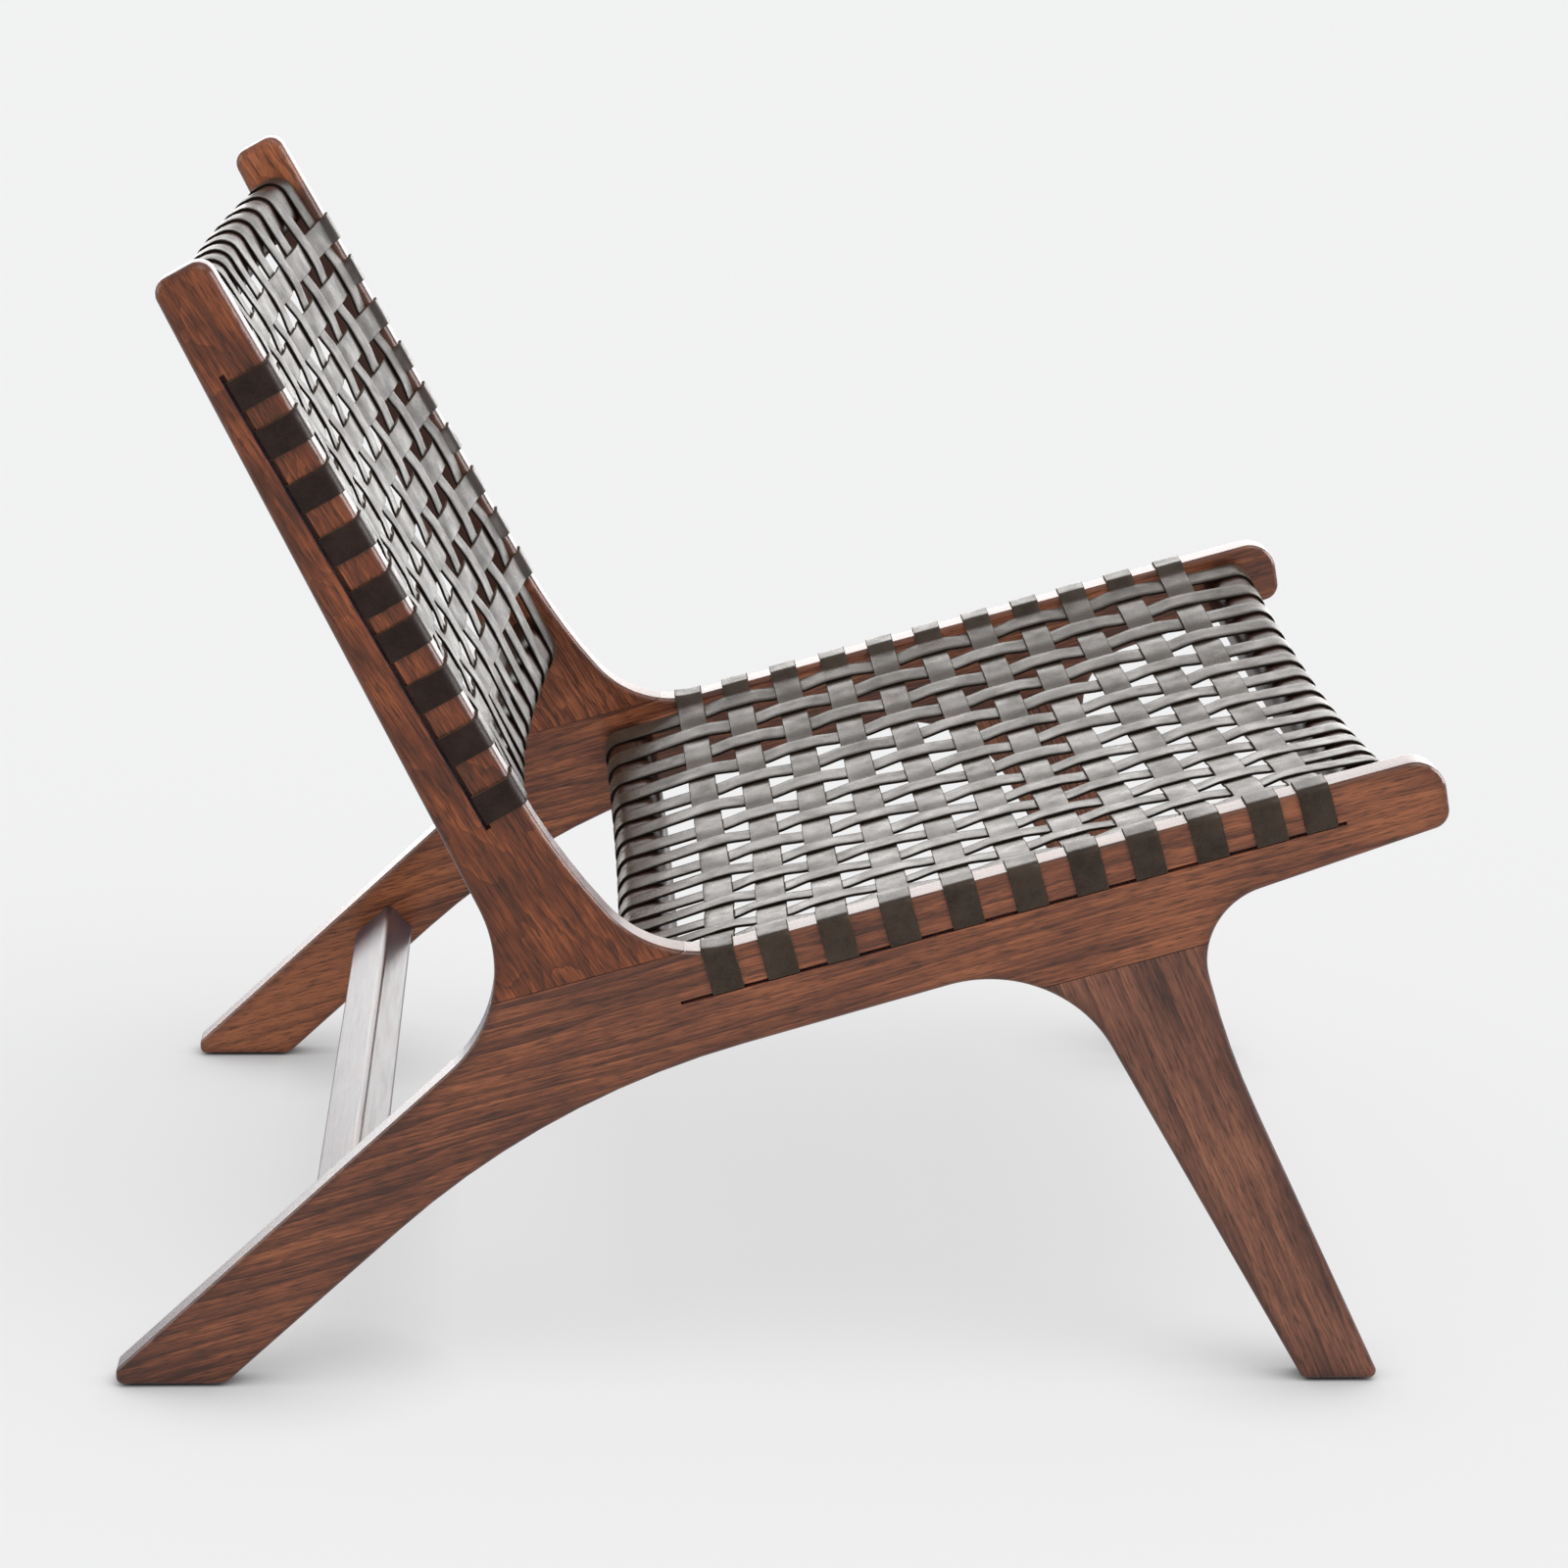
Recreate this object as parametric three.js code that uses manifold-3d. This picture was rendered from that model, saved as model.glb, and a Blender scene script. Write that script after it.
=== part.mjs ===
// A lounge chair with a seat and a back of leather straps in plain weave.
// Two side frames of shaped boards stand on four feet. Bowed cross rails join them, and the
// straps loop round those rails and over the boards. Millimetres, +Z up, +Y to the front, and
// +X to the sitter's right. The origin is on the floor, under the middle of the chair.

import * as THREE from 'three';
import { mergeVertices } from 'three/addons/utils/BufferGeometryUtils.js';
import Module from 'manifold-3d';

// Side frames
const FRAME_WIDTH = 636;
const BOARD_THICKNESS = 24;
const EDGE_RADIUS = 3.5;
const JOINT_GAP = 0.3;

// The corner where the seat line meets the back line, and the slopes of the two, in degrees
const CORNER_Y = -88.9;
const CORNER_Z = 255.3;
const SEAT_SLOPE = 15.9;
const BACK_LEAN = 29.5;

// The elbow is eased in two steps: one arc leaves the back line and one runs into the seat line
const ELBOW_BACK_AT = 81.5;
const ELBOW_BACK_RADIUS = 390;
const ELBOW_SEAT_AT = 19;
const ELBOW_SEAT_RADIUS = 70;

// Seat rail: lengths run along the seat line from the corner, depths below that line
const SEAT_LENGTH = 490;
const NOSE_UNDERCUT = 4;
const NOSE_DEPTH = 42;
const NOSE_TOP_RADIUS = 22;
const NOSE_BOTTOM_RADIUS = 11;
const ARCH_REAR_AT = -64;
const ARCH_REAR_DEPTH = 61;
const ARCH_REAR_RADIUS = 510;
const ARCH_FRONT_AT = 246;
const ARCH_FRONT_DEPTH = 56.5;
const ARCH_FRONT_RADIUS = 85;

// Front leg
const LEG_FRONT_AT = 328;
const LEG_FRONT_DEPTH = 53;
const LEG_FRONT_RADIUS = 44;
const KNEE_AT = 328.5;
const KNEE_DEPTH = 140;
const KNEE_RADIUS = 500;
const FRONT_FOOT_REAR_Y = 319.5;
const FRONT_FOOT_FRONT_Y = 366.5;
const LEG_JOINT_DEPTH = 73.5;

// Back post: lengths run up the back line from the corner, widths behind that line
const BACK_LENGTH = 478.5;
const POST_TOP_WIDTH = 35.5;
const POST_TOP_RADIUS = 10;
const CROOK_AT = 14;
const CROOK_WIDTH = 57.5;
const CROOK_RADIUS = 84;
const POST_JOINT_RISE = 5;

// Rear leg: its upper edge runs at a point of the floor, and the foot ends blunt before that
const REAR_EDGE_FLOOR_Y = -398.5;
const REAR_FOOT_TIP_Y = -389;
const REAR_FOOT_TIP_RADIUS = 5;
const REAR_FOOT_FRONT_Y = -324.5;

// The boards are shaped with this much to spare below the feet, and sawn off level
const SAW_ALLOWANCE = 8;
const SAWN_CORNER_RADIUS = 4;

// Tenons that hold the boards of a side frame together
const BOARD_TENON_THICKNESS = 8;
const BOARD_TENON_LENGTH = 44;
const BOARD_TENON_DEPTH = 22;
const POST_TENON_AT = -32;
const LEG_TENON_AT = 287;

// Glides under the feet
const GLIDE_HEIGHT = 1.5;
const GLIDE_RADIUS = 8;
const GLIDE_FLAT_RADIUS = 5.5;

// Cross rails and the tenons on their ends
const CROSS_RAIL_WIDTH = 34;
const CROSS_RAIL_THICKNESS = 30;
const CROSS_RAIL_RADIUS = 11;
const CROSS_TENON_WIDTH = 20;
const CROSS_TENON_THICKNESS = 16;
const CROSS_TENON_LENGTH = 14;
const FRONT_RAIL_SETBACK = 25;
const REAR_RAIL_AT = -10;
const TOP_RAIL_SETBACK = 26.5;
const BOTTOM_RAIL_AT = 61;
const SEAT_BOW = 22;
const BACK_BOW = 25;

// Stretcher between the rear legs, placed along the leg's upper edge from the floor
const STRETCHER_AT = 168.5;
const STRETCHER_WIDTH = 36;
const STRETCHER_THICKNESS = 26;
const STRETCHER_INSET = 18;
const STRETCHER_RADIUS = 4;

// Straps
const STRAP_WIDTH = 19;
const STRAP_THICKNESS = 2;
const STRAP_GAP = 0.3;
const STRAP_TUCK = 9;
const SLOT_INSET = 24.5;
const SLOT_MARGIN = 4;
const WEAVE_SINK = 4.5;
const WEAVE_GAP = 0.4;
const SIDE_CLEARANCE = 1.2;
const SEAT_LONG_COUNT = 15;
const SEAT_CROSS_COUNT = 11;
const SEAT_MARGIN_REAR = 32;
const SEAT_MARGIN_FRONT = 21.5;
const BACK_UPRIGHT_COUNT = 14;
const BACK_CROSS_COUNT = 9;
const BACK_MARGIN_BOTTOM = 31.5;
const BACK_MARGIN_TOP = 18;

// Steps of the curved surfaces
const ARC_STEPS = 3;
const EDGE_STEPS = 2;
const RAIL_STATIONS = 16;
const RAIL_CORNER_STEPS = 2;

const RIGHT_ANGLE = Math.PI / 2;
const halfWidth = FRAME_WIDTH / 2;
const innerFace = halfWidth - BOARD_THICKNESS;
const strapOffset = STRAP_GAP + STRAP_THICKNESS / 2;

const wood = { color: 0x6e412d, roughness: 0.42, metalness: 0 };
const leather = { color: 0x4a443d, roughness: 0.55, metalness: 0 };

const wasm = await Module();
wasm.setup();

/** A solid made from a closed geometry. */
function toSolid(geometry) {
  const bare = geometry.clone();
  bare.deleteAttribute('normal');
  bare.deleteAttribute('uv');
  const merged = mergeVertices(bare);
  return new wasm.Manifold(new wasm.Mesh({
    numProp: 3,
    vertProperties: Float32Array.from(merged.attributes.position.array),
    triVerts: Uint32Array.from(merged.index.array),
  }));
}

/** The geometry of a solid. */
function toGeometry(solid) {
  const mesh = solid.getMesh();
  const geometry = new THREE.BufferGeometry();
  geometry.setAttribute('position', new THREE.BufferAttribute(Float32Array.from(mesh.vertProperties), 3));
  geometry.setIndex(Array.from(mesh.triVerts));
  geometry.computeVertexNormals();
  return geometry;
}

/** The same geometry on the other side of the chair. */
function mirrored(geometry) {
  const other = geometry.clone();
  other.applyMatrix4(new THREE.Matrix4().makeScale(-1, 1, 1));
  const corners = Array.from(other.index.array);
  const flipped = corners.map((_, i) => corners[i - (i % 3) + 2 - (i % 3)]);
  other.setIndex(flipped);
  other.computeVertexNormals();
  return other;
}

/** A closed body through rings of points, with flat ends. Each ring is convex. */
function loft(rings) {
  const count = rings[0].length;
  const points = rings.flat();
  const triangles = [];
  for (let ring = 0; ring + 1 < rings.length; ring++) {
    for (let side = 0; side < count; side++) {
      const a = ring * count + side;
      const b = ring * count + (side + 1) % count;
      triangles.push([a, b, b + count], [a, b + count, a + count]);
    }
  }
  const last = points.length - count;
  for (let side = 1; side + 1 < count; side++) {
    triangles.push([0, side + 1, side], [last, last + side, last + side + 1]);
  }
  const volume = triangles.reduce((sum, [a, b, c]) => {
    return sum + points[a].dot(new THREE.Vector3().crossVectors(points[b], points[c]));
  }, 0);
  const outward = volume > 0 ? triangles : triangles.map(([a, b, c]) => [a, c, b]);
  const geometry = new THREE.BufferGeometry().setFromPoints(points);
  geometry.setIndex(outward.flat());
  geometry.computeVertexNormals();
  return geometry;
}

/**
 * A frame for what lies along one slope of the chair: a runs along it from the origin, h out of
 * its face and x across the chair. Inside the side frames its face bows back, as the rails do.
 */
function makePanel(origin, angle, turn, bowDepth) {
  const along = new THREE.Vector2(Math.cos(angle), Math.sin(angle));
  const out = new THREE.Vector2(-along.y, along.x).multiplyScalar(turn);
  const flat = (a, h) => origin.clone().addScaledVector(along, a).addScaledVector(out, h);
  const bow = (x) => bowDepth * Math.max(0, 1 - (x / innerFace) ** 2);
  const straight = (x, a, h) => {
    const point = flat(a, h);
    return new THREE.Vector3(x, point.x, point.y);
  };
  const place = (x, a, h) => straight(x, a, h - bow(x));
  return { flat, straight, place };
}

const corner = new THREE.Vector2(CORNER_Y, CORNER_Z);
const seat = makePanel(corner, THREE.MathUtils.degToRad(SEAT_SLOPE), 1, SEAT_BOW);
const back = makePanel(corner, THREE.MathUtils.degToRad(90 + BACK_LEAN), -1, BACK_BOW);
const legEdgeEnd = new THREE.Vector2(REAR_EDGE_FLOOR_Y, GLIDE_HEIGHT);
const crook = back.flat(CROOK_AT, -CROOK_WIDTH);
const rearLeg = makePanel(legEdgeEnd, crook.clone().sub(legEdgeEnd).angle(), 1, 0);
const level = makePanel(new THREE.Vector2(), 0, 1, 0);
const elbowSeat = seat.flat(ELBOW_SEAT_AT, 0);
const elbowBack = back.flat(ELBOW_BACK_AT, 0);

/** How far the board's edge stands above the seat line where the elbow runs into it. */
function elbowRise(a) {
  const fall = elbowBack.clone().sub(elbowSeat);
  const turn = THREE.MathUtils.degToRad(SEAT_SLOPE) - Math.atan2(-fall.y, -fall.x);
  const away = ELBOW_SEAT_AT + ELBOW_SEAT_RADIUS * Math.tan(turn / 2) - a;
  return away > 0 ? ELBOW_SEAT_RADIUS - Math.sqrt(ELBOW_SEAT_RADIUS ** 2 - away ** 2) : 0;
}

/** A box in a panel's frame, between pairs of limits. */
function panelBlock(panel, [x0, x1], [a0, a1], [h0, h1]) {
  const ring = (x) => [[a0, h0], [a1, h0], [a1, h1], [a0, h1]].map(([a, h]) => panel.straight(x, a, h));
  return toSolid(loft([ring(x0), ring(x1)]));
}

/** An outline of straight edges whose corners are arcs, limited to half of the shorter edge. */
function roundedShape(corners) {
  const shape = new THREE.Shape();
  corners.forEach(([point, radius], i) => {
    const before = corners.at(i - 1)[0].clone().sub(point);
    const after = corners[(i + 1) % corners.length][0].clone().sub(point);
    const limit = Math.min(before.length(), after.length()) / 2;
    before.normalize();
    after.normalize();
    const half = Math.acos(before.dot(after)) / 2;
    const reach = Math.min(radius / Math.tan(half), limit);
    const fillet = reach * Math.tan(half);
    const start = point.clone().addScaledVector(before, reach);
    const end = point.clone().addScaledVector(after, reach);
    const inward = before.clone().add(after).normalize();
    const centre = point.clone().addScaledVector(inward, fillet / Math.sin(half));
    const from = start.sub(centre).angle();
    const to = end.sub(centre).angle();
    shape.absarc(centre.x, centre.y, fillet, from, to, before.cross(after) > 0);
  });
  shape.closePath();
  return shape;
}

/** The outline of a whole side frame, from the rear foot's tip round by the front. */
function sideOutline() {
  const archRear = seat.flat(ARCH_REAR_AT, -ARCH_REAR_DEPTH);
  const archFront = seat.flat(ARCH_FRONT_AT, -ARCH_FRONT_DEPTH);
  const knee = seat.flat(KNEE_AT, -KNEE_DEPTH);
  const onEdge = (REAR_FOOT_TIP_Y - REAR_EDGE_FLOOR_Y) / (crook.x - REAR_EDGE_FLOOR_Y);
  const footTip = legEdgeEnd.clone().lerp(crook, onEdge);
  const belowTip = new THREE.Vector2(REAR_FOOT_TIP_Y, -SAW_ALLOWANCE);
  const throughFoot = (from, footY) => {
    const foot = new THREE.Vector2(footY, GLIDE_HEIGHT);
    return from.clone().lerp(foot, (from.y + SAW_ALLOWANCE) / (from.y - GLIDE_HEIGHT));
  };
  return roundedShape([
    [footTip, REAR_FOOT_TIP_RADIUS],
    [belowTip, SAWN_CORNER_RADIUS],
    [throughFoot(archRear, REAR_FOOT_FRONT_Y), SAWN_CORNER_RADIUS],
    [archRear, ARCH_REAR_RADIUS],
    [archFront, ARCH_FRONT_RADIUS],
    [throughFoot(archFront, FRONT_FOOT_REAR_Y), SAWN_CORNER_RADIUS],
    [throughFoot(knee, FRONT_FOOT_FRONT_Y), SAWN_CORNER_RADIUS],
    [knee, KNEE_RADIUS],
    [seat.flat(LEG_FRONT_AT, -LEG_FRONT_DEPTH), LEG_FRONT_RADIUS],
    [seat.flat(SEAT_LENGTH - NOSE_UNDERCUT, -NOSE_DEPTH), NOSE_BOTTOM_RADIUS],
    [seat.flat(SEAT_LENGTH, 0), NOSE_TOP_RADIUS],
    [elbowSeat, ELBOW_SEAT_RADIUS],
    [elbowBack, ELBOW_BACK_RADIUS],
    [back.flat(BACK_LENGTH, 0), POST_TOP_RADIUS],
    [back.flat(BACK_LENGTH, -POST_TOP_WIDTH), POST_TOP_RADIUS],
    [crook, CROOK_RADIUS],
  ]);
}

/** An outline as a board on the right side of the chair, with its edges rounded over. */
function boardSolid(shape) {
  const geometry = new THREE.ExtrudeGeometry(shape, {
    depth: BOARD_THICKNESS - 2 * EDGE_RADIUS,
    curveSegments: ARC_STEPS,
    bevelThickness: EDGE_RADIUS,
    bevelSize: EDGE_RADIUS,
    bevelOffset: -EDGE_RADIUS,
    bevelSegments: EDGE_STEPS,
  });
  const upright = new THREE.Matrix4().makeBasis(
    new THREE.Vector3(0, 1, 0),
    new THREE.Vector3(0, 0, 1),
    new THREE.Vector3(1, 0, 0),
  );
  geometry.applyMatrix4(upright);
  geometry.translate(innerFace + EDGE_RADIUS, 0, 0);
  return toSolid(geometry);
}

/** A dome glide in the middle of a foot, reaching up into the board. */
function glideSolid(footRear, footFront) {
  const profile = [[0, 0], [GLIDE_FLAT_RADIUS, 0], [GLIDE_RADIUS, GLIDE_HEIGHT],
    [GLIDE_RADIUS, 2 * GLIDE_HEIGHT], [0, 2 * GLIDE_HEIGHT]];
  const geometry = new THREE.LatheGeometry(profile.map(([r, z]) => new THREE.Vector2(r, z)), 12);
  geometry.rotateX(RIGHT_ANGLE);
  geometry.translate(halfWidth - BOARD_THICKNESS / 2, (footRear + footFront) / 2, 0);
  return toSolid(geometry);
}

/** A cross rail's place: its limits along and out of the panel that it carries. */
function makeRail(panel, along, out, radius) {
  return { panel, along, out, radius };
}

/** How far straps of two families rise and fall so that they pass one another. */
function weaveRise(pitchA, pitchB) {
  const room = (1 - STRAP_WIDTH / pitchA) + (1 - STRAP_WIDTH / pitchB);
  return (STRAP_THICKNESS + WEAVE_GAP) / room;
}

const frontRailEdge = SEAT_LENGTH - FRONT_RAIL_SETBACK;
const topRailEdge = BACK_LENGTH - TOP_RAIL_SETBACK;
const seatFirst = REAR_RAIL_AT + CROSS_RAIL_WIDTH + SEAT_MARGIN_REAR;
const seatLast = frontRailEdge - CROSS_RAIL_THICKNESS - SEAT_MARGIN_FRONT;
const backFirst = BOTTOM_RAIL_AT + CROSS_RAIL_WIDTH + BACK_MARGIN_BOTTOM;
const backLast = topRailEdge - CROSS_RAIL_WIDTH - BACK_MARGIN_TOP;

/** The places of one panel's straps: x of those along it, a of those across it, and their rise. */
function makeWeave(longCount, crossCount, first, last) {
  const longPitch = 2 * innerFace / longCount;
  const crossPitch = (last - first) / (crossCount - 1);
  const longAt = Array.from({ length: longCount }, (_, i) => (i - (longCount - 1) / 2) * longPitch);
  const crossAt = Array.from({ length: crossCount }, (_, k) => first + k * crossPitch);
  return { longAt, crossAt, rise: weaveRise(longPitch, crossPitch) };
}

const seatWeave = makeWeave(SEAT_LONG_COUNT, SEAT_CROSS_COUNT, seatFirst, seatLast);
const backWeave = makeWeave(BACK_UPRIGHT_COUNT, BACK_CROSS_COUNT, backFirst, backLast);

/** The face of a rail that straps lie on, level with the straps' lowest pass. */
function railFace(weave) {
  return -(WEAVE_SINK + weave.rise + strapOffset);
}

const seatFace = railFace(seatWeave);
const backFace = railFace(backWeave);
const rails = {
  seat_front_rail: makeRail(
    seat, [frontRailEdge - CROSS_RAIL_THICKNESS, frontRailEdge],
    [seatFace - CROSS_RAIL_WIDTH, seatFace], CROSS_RAIL_RADIUS),
  seat_rear_rail: makeRail(
    seat, [REAR_RAIL_AT, REAR_RAIL_AT + CROSS_RAIL_WIDTH],
    [seatFace - CROSS_RAIL_THICKNESS, seatFace], CROSS_RAIL_RADIUS),
  back_top_rail: makeRail(
    back, [topRailEdge - CROSS_RAIL_WIDTH, topRailEdge],
    [backFace - CROSS_RAIL_THICKNESS, backFace], CROSS_RAIL_RADIUS),
  back_bottom_rail: makeRail(
    back, [BOTTOM_RAIL_AT, BOTTOM_RAIL_AT + CROSS_RAIL_WIDTH],
    [backFace - CROSS_RAIL_THICKNESS, backFace], CROSS_RAIL_RADIUS),
  rear_stretcher: makeRail(
    rearLeg, [STRETCHER_AT - STRETCHER_WIDTH / 2, STRETCHER_AT + STRETCHER_WIDTH / 2],
    [-STRETCHER_INSET - STRETCHER_THICKNESS, -STRETCHER_INSET], STRETCHER_RADIUS),
};

/** Limits about the middle of a pair of limits. */
function centred([low, high], size) {
  const middle = (low + high) / 2;
  return [middle - size / 2, middle + size / 2];
}

/** The tenon on a rail's right end, or with a gap all round, the mortise that takes it. */
function tenonBlock(rail, gap) {
  const upright = rail.along[1] - rail.along[0] < rail.out[1] - rail.out[0];
  const along = upright ? CROSS_TENON_THICKNESS : CROSS_TENON_WIDTH;
  const out = upright ? CROSS_TENON_WIDTH : CROSS_TENON_THICKNESS;
  return panelBlock(
    rail.panel, [innerFace - 2 * JOINT_GAP, innerFace + CROSS_TENON_LENGTH + gap],
    centred(rail.along, along + 2 * gap), centred(rail.out, out + 2 * gap));
}

/** The corner points of a rail's section, with rounded arrises. */
function railSection({ along, out, radius }) {
  const middles = [[1, 1, 0], [0, 1, 1], [0, 0, 2], [1, 0, 3]];
  return middles.flatMap(([aEnd, hEnd, quarter]) => {
    const a = along[aEnd] + (aEnd ? -radius : radius);
    const h = out[hEnd] + (hEnd ? -radius : radius);
    return Array.from({ length: RAIL_CORNER_STEPS + 1 }, (_, i) => {
      const angle = (quarter + i / RAIL_CORNER_STEPS) * RIGHT_ANGLE;
      return [a + radius * Math.cos(angle), h + radius * Math.sin(angle)];
    });
  });
}

/** A cross rail between the side frames, with a tenon at each end. */
function crossRail(rail) {
  const section = railSection(rail);
  const end = innerFace - JOINT_GAP;
  const rings = Array.from({ length: RAIL_STATIONS + 1 }, (_, i) => {
    const x = end * (2 * i / RAIL_STATIONS - 1);
    return section.map(([a, h]) => rail.panel.place(x, a, h));
  });
  const tenon = tenonBlock(rail, 0);
  const otherTenon = toSolid(mirrored(toGeometry(tenon)));
  return toGeometry(toSolid(loft(rings)).add(tenon).add(otherTenon));
}

/** The groove in a board's outer face that takes the ends of the straps across a panel. */
function strapGroove(panel, weave) {
  const reach = STRAP_WIDTH / 2 + SLOT_MARGIN;
  return panelBlock(
    panel, [halfWidth - STRAP_TUCK - STRAP_GAP, halfWidth + EDGE_RADIUS],
    [weave.crossAt[0] - reach, weave.crossAt.at(-1) + reach],
    [-SLOT_INSET - strapOffset, -SLOT_INSET + strapOffset]);
}

/** The three boards of the right side frame: post, seat rail with its rear leg, and front leg. */
function sideBoards() {
  const beyond = 2 * (SEAT_LENGTH + BACK_LENGTH);
  const across = [0, FRAME_WIDTH];
  const legFrom = (ARCH_FRONT_AT + ARCH_REAR_AT) / 2;
  const above = (h) => panelBlock(seat, across, [-beyond, beyond], [h, beyond]);
  const below = (h) => panelBlock(seat, across, [legFrom, beyond], [-beyond, h]);
  const tenon = (at, [from, to], gap) => panelBlock(
    seat, centred([innerFace, halfWidth], BOARD_TENON_THICKNESS + 2 * gap),
    centred([at, at], BOARD_TENON_LENGTH + 2 * gap), [from - gap, to + gap]);
  const postTenon = [POST_JOINT_RISE - BOARD_TENON_DEPTH, POST_JOINT_RISE + JOINT_GAP];
  const legTenon = [-LEG_JOINT_DEPTH - JOINT_GAP, -LEG_JOINT_DEPTH + BOARD_TENON_DEPTH];
  const side = boardSolid(sideOutline())
    .subtract(panelBlock(level, across, [-beyond, beyond], [-beyond, GLIDE_HEIGHT]))
    .add(glideSolid(REAR_FOOT_TIP_Y, REAR_FOOT_FRONT_Y))
    .add(glideSolid(FRONT_FOOT_REAR_Y, FRONT_FOOT_FRONT_Y))
    .subtract(strapGroove(seat, seatWeave))
    .subtract(strapGroove(back, backWeave));
  const bored = Object.values(rails).reduce((solid, rail) => {
    return solid.subtract(tenonBlock(rail, JOINT_GAP));
  }, side);
  return {
    back_post: bored
      .intersect(above(POST_JOINT_RISE + JOINT_GAP / 2))
      .add(tenon(POST_TENON_AT, postTenon, 0)),
    seat_rail: bored
      .subtract(above(POST_JOINT_RISE - JOINT_GAP / 2))
      .subtract(below(-LEG_JOINT_DEPTH + JOINT_GAP / 2))
      .subtract(tenon(POST_TENON_AT, postTenon, JOINT_GAP))
      .subtract(tenon(LEG_TENON_AT, legTenon, JOINT_GAP)),
    front_leg: bored
      .intersect(below(-LEG_JOINT_DEPTH - JOINT_GAP / 2))
      .add(tenon(LEG_TENON_AT, legTenon, 0)),
  };
}

/** Points of a bend round a circle, such that the lines between them just touch it. */
function bend(centre, radius, from, to, steps) {
  const step = (to - from) / steps;
  const reach = radius / Math.cos(step / 2);
  return Array.from({ length: steps }, (_, i) => {
    const angle = from + step * (i + 0.5);
    return new THREE.Vector2(Math.cos(angle), Math.sin(angle)).multiplyScalar(reach).add(centre);
  });
}

/** The angle where a line from a point on the left touches a circle on its upper side. */
function touchAngle(centre, radius, point) {
  const away = point.clone().sub(centre);
  const angle = Math.atan2(away.y, away.x);
  const turned = angle < 0 ? angle + 4 * RIGHT_ANGLE : angle;
  return turned - Math.acos(radius / away.length());
}

/** A strap's way from its last crossing over the right board and down into the groove. */
function overBoard(crossing, passesUnder) {
  const radius = EDGE_RADIUS + strapOffset;
  const inner = new THREE.Vector2(innerFace + EDGE_RADIUS, -EDGE_RADIUS);
  const outer = new THREE.Vector2(halfWidth - EDGE_RADIUS, -EDGE_RADIUS);
  const clear = new THREE.Vector2(STRAP_WIDTH / 2 + SIDE_CLEARANCE, 0);
  const path = passesUnder ? [crossing.clone().add(clear)] : [];
  const touch = touchAngle(inner, radius, path[0] ?? crossing);
  path.push(...bend(inner, radius, touch, RIGHT_ANGLE, 1));
  path.push(...bend(outer, radius, RIGHT_ANGLE, 0, 2));
  path.push(new THREE.Vector2(halfWidth + strapOffset, -SLOT_INSET));
  path.push(new THREE.Vector2(halfWidth - STRAP_TUCK, -SLOT_INSET));
  return path;
}

/** A strap's way from its last crossing round the far side of a rail to its tail. */
function roundRail({ along, out, radius }, crossing) {
  const bendRadius = radius + strapOffset;
  const upper = new THREE.Vector2(along[1] - radius, out[1] - radius);
  const lower = new THREE.Vector2(along[1] - radius, out[0] + radius);
  const touch = touchAngle(upper, bendRadius, crossing);
  return [
    ...bend(upper, bendRadius, touch, 0, 2),
    ...bend(lower, bendRadius, 0, -RIGHT_ANGLE, 2),
    new THREE.Vector2((along[0] + along[1]) / 2, out[0] - strapOffset),
  ];
}

const flipPoint = (point) => new THREE.Vector2(-point.x, point.y);
const flipLimits = ([low, high]) => [-high, -low];

/** The height of a strap at a crossing: over where the two counts add to an even number. */
function crossingHeight(weave, i, k, isCross) {
  const crossIsOver = (i + k) % 2 === 0;
  return -WEAVE_SINK + (crossIsOver === isCross ? weave.rise : -weave.rise);
}

/** A strap's path across a panel, in x and h, from groove to groove. */
function crossPath(weave, k) {
  const crossings = weave.longAt.map((x, i) => new THREE.Vector2(x, crossingHeight(weave, i, k, true)));
  const under = (i) => crossings[i].y < -WEAVE_SINK;
  const right = overBoard(crossings.at(-1), under(crossings.length - 1));
  const left = overBoard(flipPoint(crossings[0]), under(0)).map(flipPoint).reverse();
  return [...left, ...crossings, ...right];
}

/** A strap's path along a panel, in a and h, from one rail to the other. */
function longPath(weave, i, lowRail, highRail) {
  const crossings = weave.crossAt.map((a, k) => new THREE.Vector2(a, crossingHeight(weave, i, k, false)));
  const flippedRail = { ...lowRail, along: flipLimits(lowRail.along) };
  const low = roundRail(flippedRail, flipPoint(crossings[0])).map(flipPoint).reverse();
  return [...low, ...crossings, ...roundRail(highRail, crossings.at(-1))];
}

/** A flat strap along a path, mitred where the path turns; place gives a point of the chair. */
function strap(path, place) {
  const heading = (i) => path[i + 1].clone().sub(path[i]).normalize();
  const rings = path.map((point, i) => {
    const before = heading(Math.max(i - 1, 0));
    const after = heading(Math.min(i, path.length - 2));
    const along = before.clone().add(after).normalize();
    const normal = new THREE.Vector2(-along.y, along.x);
    normal.multiplyScalar(STRAP_THICKNESS / 2 / along.dot(before));
    const top = point.clone().add(normal);
    const bottom = point.clone().sub(normal);
    const half = STRAP_WIDTH / 2;
    return [place(top, -half), place(top, half), place(bottom, half), place(bottom, -half)];
  });
  return loft(rings);
}

const chair = new THREE.Group();

function addPiece(name, geometry, finish) {
  const mesh = new THREE.Mesh(geometry, new THREE.MeshStandardMaterial(finish));
  mesh.name = name;
  chair.add(mesh);
}

const numbered = (name, i) => `${name}_${String(i + 1).padStart(2, '0')}`;

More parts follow.
